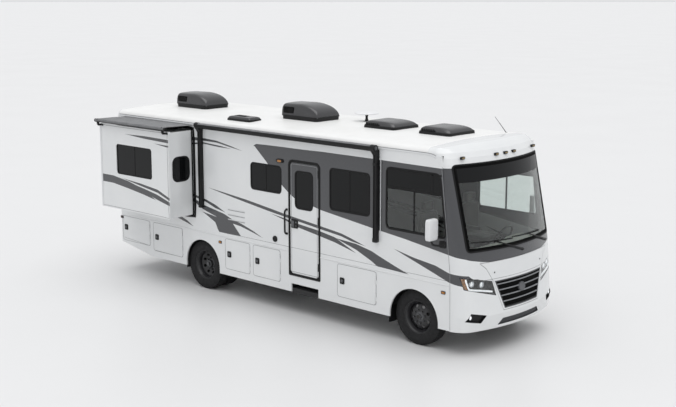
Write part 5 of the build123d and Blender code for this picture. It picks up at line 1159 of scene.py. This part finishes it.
room = dict(body="slide_room")
face = evened(oblong(-7.6036, -5.4704, 1.432, 3.103), 0.2)
opening = evened(oblong(-7.5936, -5.4804, 1.442, 3.093), 0.2)
EDGE_BEAD = ((-0.004, 0.018), (-0.002, 0.0215), (0.002, 0.0215), (0.004, 0.018))
SEAL = ((0.004, 0.0), (0.004, 0.004), (0.010, 0.0070), (0.030, 0.0070), (0.050, 0.0085), (0.060, 0.012),
        (0.064, 0.006), (0.064, 0.0))
END_STRIP = np.array([(-1.284, 1.436), (-1.284, 3.101), (-1.318, 3.101), (-1.318, 1.456), (-1.420, 1.446),
                  (-1.420, 1.436)])
piece("room_edge_bead", [moulding(grown(face, -0.030), EDGE_BEAD, on_room)], seam_and_shade_grey, **room)
piece("room_corner_moulding", [plate(oblong(-7.6036, -7.556, 1.434, 3.101), 0.0185, 0.024, on_room, 0.003)],
      trim_white, **room)
piece("room_seal_lip", [moulding(opening, SEAL, on_right)], rubber, stands_for=("slide_seal",), sharp=50)
# A black strip on the room's end wall, along its joint with the side wall and along its foot
piece("room_end_black_strip", [plate(END_STRIP, 0.0004, 0.0024, across_coach(-5.4884), 0.001)], rubber, **room)


# Entry door, step and baggage doors

leaf = rounded(oblong(-2.848, -2.157, 0.750, 2.755), (0.02, 0.02, 0.075, 0.075), 10)
jamb = rounded(oblong(-2.884, -2.121, 0.714, 2.791), (0.02, 0.02, 0.11, 0.11), 10)
JAMB = ((0.010, 0.0), (0.009, 0.006), (0.003, 0.011), (-0.028, 0.011), (-0.034, 0.006), (-0.034, -0.02),
        (-0.028, -0.02))
LEAF_BEAD = ((-0.004, 0.0), (-0.002, 0.003), (0.002, 0.003), (0.004, 0.0))
BUTTON = np.array([(0.0, 0.0205), (0.013, 0.020), (0.016, 0.016), (0.016, 0.0), (0.0, 0.0)])
SMALL_BUTTON = ((0.0, 0.0205), (0.010, 0.020), (0.012, 0.016), (0.012, 0.0), (0.0, 0.0))
HINGE = ((0.0, 0.0), (0.0085, 0.0), (0.0085, 0.0685), (0.0, 0.0685))
HANDLE = [(-2.936, y, z) for y, z in ((-1.280, 1.890), (-1.305, 1.888), (-1.328, 1.868), (-1.338, 1.820),
                                      (-1.338, 1.670), (-1.338, 1.520), (-1.328, 1.472), (-1.305, 1.452),
                                      (-1.280, 1.450))]
HANDLE_FOOT = ((0.0, -0.006), (0.020, -0.006), (0.024, -0.002), (0.024, 0.0), (0.0, 0.0))
door = dict(body="entry_door")
piece("entry_door_jamb", [moulding(jamb, JAMB, on_right)], frame_black)
piece("entry_door_bead", [moulding(grown(leaf, -0.030), LEAF_BEAD, on_right)], seam_and_shade_grey, **door)
latch = rounded(oblong(-2.824, -2.656, 1.578, 1.737), 0.02)
piece("entry_latch_plate", [plate(latch, 0.0, 0.0165, on_right, 0.006)], black_abs, **door)
piece("entry_latch_paddle", [block((-2.806, WALL - 0.030, 1.600), (-2.735, WALL - 0.012, 1.716), 0.3, 12, 28),
                             turned(BUTTON, (-2.690, WALL - 0.0225, 1.690), "y", 28),
                             turned(SMALL_BUTTON, (-2.690, WALL - 0.0225, 1.625), "y", 28)],
      graphite_trim, **door)
hinges = [turned(HINGE, (-2.157, WALL - 0.0083, 0.7905 + 2.065 * share), "z", 20) for share in (0.08, 0.48, 0.88)]
piece("entry_hinge_barrels", hinges, black_abs, **door)
piece("grab_handle", [tube(smoothed(HANDLE, 48), 0.0165, 14, (1, 0, 0))] +
      [turned(HANDLE_FOOT, (-2.936, WALL, z), "y", 28) for z in (1.889, 1.451)], black_abs)

BAGGAGE = (  # name, place on the wall, X and Z of the latch
    ("right_1", on_right, -7.6553, 0.8905), ("right_2", on_right, -6.6542, 0.8265),
    ("right_3", on_right, -4.4878, 0.820), ("right_4", on_right, -3.7181, 0.820),
    ("right_5", on_right, -1.5932, 0.820), ("left_1", on_left, -6.6542, 0.8265),
    ("left_2", on_left, -4.4878, 0.820), ("left_3", on_left, -1.5932, 0.820))
KNOB_BEAD = ((-0.004, 0.010), (-0.001, 0.014), (0.003, 0.014), (0.005, 0.010))
SEAM = ((-0.0035, -0.001), (-0.0035, 0.0008), (0.0035, 0.0008), (0.0035, -0.001))
seams = []
for name, place, x, z in BAGGAGE:
    outline = rounded(oblong(x - 0.053, x + 0.053, z - 0.058, z + 0.058), 0.022)
    knob = rounded(oblong(x - 0.024, x + 0.024, z - 0.026, z + 0.026), 0.014)
    piece("latch_" + name, [plate(outline, 0.0, 0.011, place, 0.005),
                            moulding(grown(knob, 0.010), KNOB_BEAD, place)], black_abs, "baggage_door_" + name)
    piece("latch_knob_" + name, [plate(knob, 0.010, 0.020, place, 0.005)], graphite_trim, "baggage_door_" + name)
    low, high = (np.array(corner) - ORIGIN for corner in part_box("baggage_door_" + name))
    outline = evened(rounded(oblong(low[0], high[0], low[2], high[2]), 0.05, 8), 0.2)
    seams.append(moulding(grown(outline, 0.0045), SEAM, place))
piece("baggage_door_seams", seams, seam_and_shade_grey, slot="black_rubber")
treads = [block((-2.810, y, 0.4715), (-2.190, y + 0.012, 0.4775), 0.3, 8, 20) for y in np.linspace(-1.225, -0.985, 9)]
piece("entry_step_valance", [block((-2.834, -1.258, 0.382), (-2.165, -1.236, 0.474), 0.12, 12, 40)] + treads,
      step_black, "entry_step")
# A black sheet at the back of the step's housing: painted shade inside it
piece("entry_step_house", [block((-2.842, -0.935, 0.372), (-2.158, -0.915, 0.712), 0.08, 12, 40)], shade_and_print_black,
      slot="step_black")


# Wall and roof trims

RIB = ((-0.012, 0.0), (-0.009, 0.005), (0.009, 0.005), (0.012, 0.0))
RIB_RUNS = ((-1, -7.77, -2.892), (-1, -2.113, 0.70), (1, -7.77, 0.70))  # side, ends
RAIL = ((-0.013, 0.0), (-0.013, 0.008), (-0.008, 0.012), (-0.004, 0.008), (0.010, 0.007), (0.013, 0.0))
RAIL_RUN = np.array([(-7.765, 3.205), (-6.0, 3.205), (-4.0, 3.205), (-2.0, 3.205), (-0.5, 3.205), (0.10, 3.205),
                     (0.27, 3.202), (0.36, 3.188), (0.41, 3.165), (0.435, 3.140)])
CAP_SEAM = ((0.741, 0.0, 0.415), (0.722, 0.0, 1.35), (0.616, 0.0, 2.25), (0.529, 0.0, 2.980),
            (0.524, -0.012, 3.020))  # X, distance out of the wall, Z
LOUVRES = (1.679, 1.583, 1.487)  # heights
INLET = ((0.0, -0.020), (0.018, -0.020), (0.022, -0.026), (0.046, -0.024), (0.054, -0.016), (0.057, 0.0),
         (0.0, 0.0))
piece("front_mud_flaps", [block((-0.560, y - 0.140, 0.290), (-0.545, y + 0.140, 0.560), 0.12, 12)
                          for y in (-1.120, 1.120)], rubber)
# Grey plates under the louvre lips: painted shade in the louvre's slots
piece("wall_louvre_slots", [plate(rounded(oblong(-4.505, -4.046, z - 0.010, z + 0.010), 0.008), 0.0, 0.0015,
                                  on_right, 0.001) for z in LOUVRES], seam_and_shade_grey, slot="black_plastic")
piece("wall_louvre_lips", [block((-4.512, WALL - 0.010, z + 0.004), (-4.039, WALL, z + 0.016), 0.3, 10, 24)
                           for z in LOUVRES], trim_white)
piece("wall_inlet", [turned(INLET, (-3.241, WALL, 1.309), "y", 40)], black_abs)


def on_wall(run, section, side, lift=0.0):
    """A section of (up, out) points carried along a run of (X, distance out, Z) points on a side wall."""
    path = np.array(run) * (1, side, 1) + (0, side * (HALF_WIDTH + lift), 0)
    return along_path(path, [(-side * rise, up) for up, rise in section])


ribs = []
for side, x0, x1 in RIB_RUNS:
    ribs.append(on_wall(level(x0, x1, 0.0, 1.143, int((x1 - x0) / 0.25)), RIB, side))
piece("floor_line_ribs", ribs, body_paint, sharp=60)
run = smoothed(RAIL_RUN, 90)
run = np.stack([run[:, 0], -0.014 * np.clip((run[:, 0] - 0.37) / 0.06, 0, 1)**2, run[:, 1]], axis=-1)
piece("roof_rails", [on_wall(run, RAIL, side) for side in (-1, 1)], trim_white, sharp=50)
# A dark grey bead along each roof rail: a painted shadow line
piece("roof_rail_shadow_lines", [on_wall(run + (0, 0, 0.018), ring_section(0.0045, 8), side, 0.001) for side in (-1, 1)],
      seam_and_shade_grey, sharp=50)
piece("cap_seams", [tube(np.array(CAP_SEAM) * (1, side, 1) + (0, side * HALF_WIDTH, 0), 0.0035, 8, (1, 0, 0))
                    for side in (-1, 1)], seam_and_shade_grey, slot="black_rubber")


# Cab inside

DASH = np.array([(0.70, 1.135), (0.62, 1.30), (0.596, 1.45), (0.600, 1.560), (0.640, 1.618), (0.740, 1.640),
                 (0.860, 1.622), (0.926, 1.590), (0.915, 1.40), (0.895, 1.135)])
desk = dict(stands_for=("dashboard",), slot="dash_plastic")
# The dashboard: its section carried across the cab, with a hump over the dials, and its front corners drawn back
y = np.linspace(-1.15, 1.15, 40)[:, None]
hump = 0.05 * np.exp(-((y - 0.56) / 0.30)**4)
x, z = DASH.T
rows = np.stack([x - 0.35 * hump * (z > 1.5) - 0.10 * (y / 1.15)**2 * (x > 0.72), y + 0 * x,
                 z + hump * (z > 1.59)], axis=-1)
middle = rows.mean(axis=1, keepdims=True) + 0 * rows
piece("dashboard_top", [grid(np.concatenate([middle[:1], rows, middle[-1:]]), round_columns=True)], dash_plastic,
      sharp=40, **desk)
hub, lean = np.array([0.430, 0.560, 1.610]), np.array([-0.885, 0.0, 0.465])
side_way, up_way = np.array([0.0, 1.0, 0.0]), np.array([0.465, 0.0, 0.885])
ring = hub + 0.210 * (np.cos(FULL_TURN)[:, None] * side_way + np.sin(FULL_TURN)[:, None] * up_way)
spokes = [tube([hub, hub + 0.10 * way, hub + 0.20 * way], 0.013, 10, lean)
          for way in (side_way, -side_way, -up_way)]
column = [hub - reach * lean for reach in (0.01, 0.12, 0.26)]
piece("steering_wheel", [along_path(ring, ring_section(0.0155, 12), lean, closed=True)] + spokes +
      [block(hub - 0.055, hub + 0.055, 0.6, 12, 24), tube(column, 0.032, 16)], black_abs, **desk)


def cushion(low, high, crown, rows=28, columns=56, power=0.24):
    """A stuffed pad: a rounded block whose big faces swell towards their middles, with a sewn channel across
    each third."""
    points, faces = block(low, high, power, rows, columns)
    middle, half = (np.array(low) + high) / 2, (np.array(high, float) - low) / 2
    share = (points - middle) / half
    axis = int(np.argmin(half))
    u, v = np.delete(share, axis, axis=1).T
    swell = np.maximum(1 - u**2, 0) * np.maximum(1 - v**2, 0)
    channel = np.exp(-((np.abs(v) - 0.42) / 0.035)**2) + np.exp(-((np.abs(u) - 0.62) / 0.05)**2)
    points = points.copy()
    points[:, axis] += share[:, axis] * (crown * swell - 0.009 * channel)
    return points, faces


CUSHIONS = (  # name, low corner, high corner and crown, from the seat's middle
    ("seat", (-0.250, -0.245, 1.472), (0.236, 0.245, 1.592), 0.012),
    ("back", (-0.372, -0.225, 1.560), (-0.250, 0.225, 2.110), 0.012),
    ("headrest", (-0.366, -0.130, 2.125), (-0.270, 0.130, 2.276), 0.008))
chairs = dict(stands_for=("cab_seats",))
for name, side in (("right", -1), ("left", 1)):
    middle = np.array([0, side * 0.58, 0])
    armrest = ("armrest", (-0.230, -side * 0.245 - 0.025, 1.700), (0.120, -side * 0.245 + 0.025, 1.760), 0.004)
    for part, low, high, crown in CUSHIONS + (armrest,):
        made = piece(f"cab_{part}_{name}", [cushion(low + middle, high + middle, crown)], seat_cloth, sharp=80,
                     **chairs)
    base = (boxes([middle], (-0.200, -0.12, 1.135), (0.180, 0.12, 1.30), 0.3, 10, 24) +
            boxes([middle], (-0.15, -0.06, 1.29), (0.10, 0.06, 1.475), 0.3, 10, 24))
    posts = [tube([middle + (-0.318, off, z) for z in (2.07, 2.10, 2.15)], 0.007, 10, (1, 0, 0))
             for off in (-0.06, 0.06)]
    piece("cab_seat_base_" + name, base + posts, black_abs, **chairs)


# Floor, light and camera

def linked(name, data):
    """A new object in the scene."""
    made = bpy.data.objects.new(name, data)
    bpy.context.scene.collection.objects.link(made)
    return made


def soft_sun(name, height, heading, strength, spread):
    """A light from far off: height and heading in degrees, and the width of the sky patch that it comes from."""
    lamp = bpy.data.lights.new(name, "SUN")
    lamp.energy, lamp.angle = strength, math.radians(spread)
    linked(name, lamp).rotation_euler = (math.radians(90 - height), 0.0, math.radians(heading))


def studio():
    """A pale floor that runs out of sight, an even white sky, a broad soft light from above and a weak one from
    the front, and the photograph's camera."""
    across = np.linspace(-400, 400, 9)
    points, faces = grid(np.stack(np.broadcast_arrays(across[None, :], across[:, None], 0.0), axis=-1))
    mesh = bpy.data.meshes.new("studio_floor")
    mesh.from_pydata((points + ORIGIN).tolist(), [], faces)
    # Matt paint: a floor that fades into the sky and takes soft shadows
    mesh.materials.append(finish("matt studio paint", "#dcdcdc", "#dadada", 0.42, spots=3.0, grain=0.01, bump=0.0))
    linked("studio_floor", mesh)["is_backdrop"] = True
    soft_sun("top_light", 82, 45, 1.5, 70)
    soft_sun("front_light", 30, 60, 0.15, 40)

    scene = bpy.context.scene
    scene.world = bpy.data.worlds.new("studio")
    scene.world.use_nodes = True
    feed(scene.world.node_tree.nodes["Background"], {"Color": linear("#f4f5f7"), "Strength": 0.82})
    scene.view_settings.view_transform = "Standard"

    camera = bpy.data.cameras.new("camera")
    camera.sensor_width, camera.lens = 36.0, 62.6
    camera.clip_start, camera.clip_end = 0.1, 300.0
    scene.camera = linked("camera", camera)
    scene.camera.location = ORIGIN + (11.715, -15.630, 5.919)
    scene.camera.rotation_euler = (math.radians(90 - 10.84), 0.0, math.radians(133.06 - 90))


studio()

low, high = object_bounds()
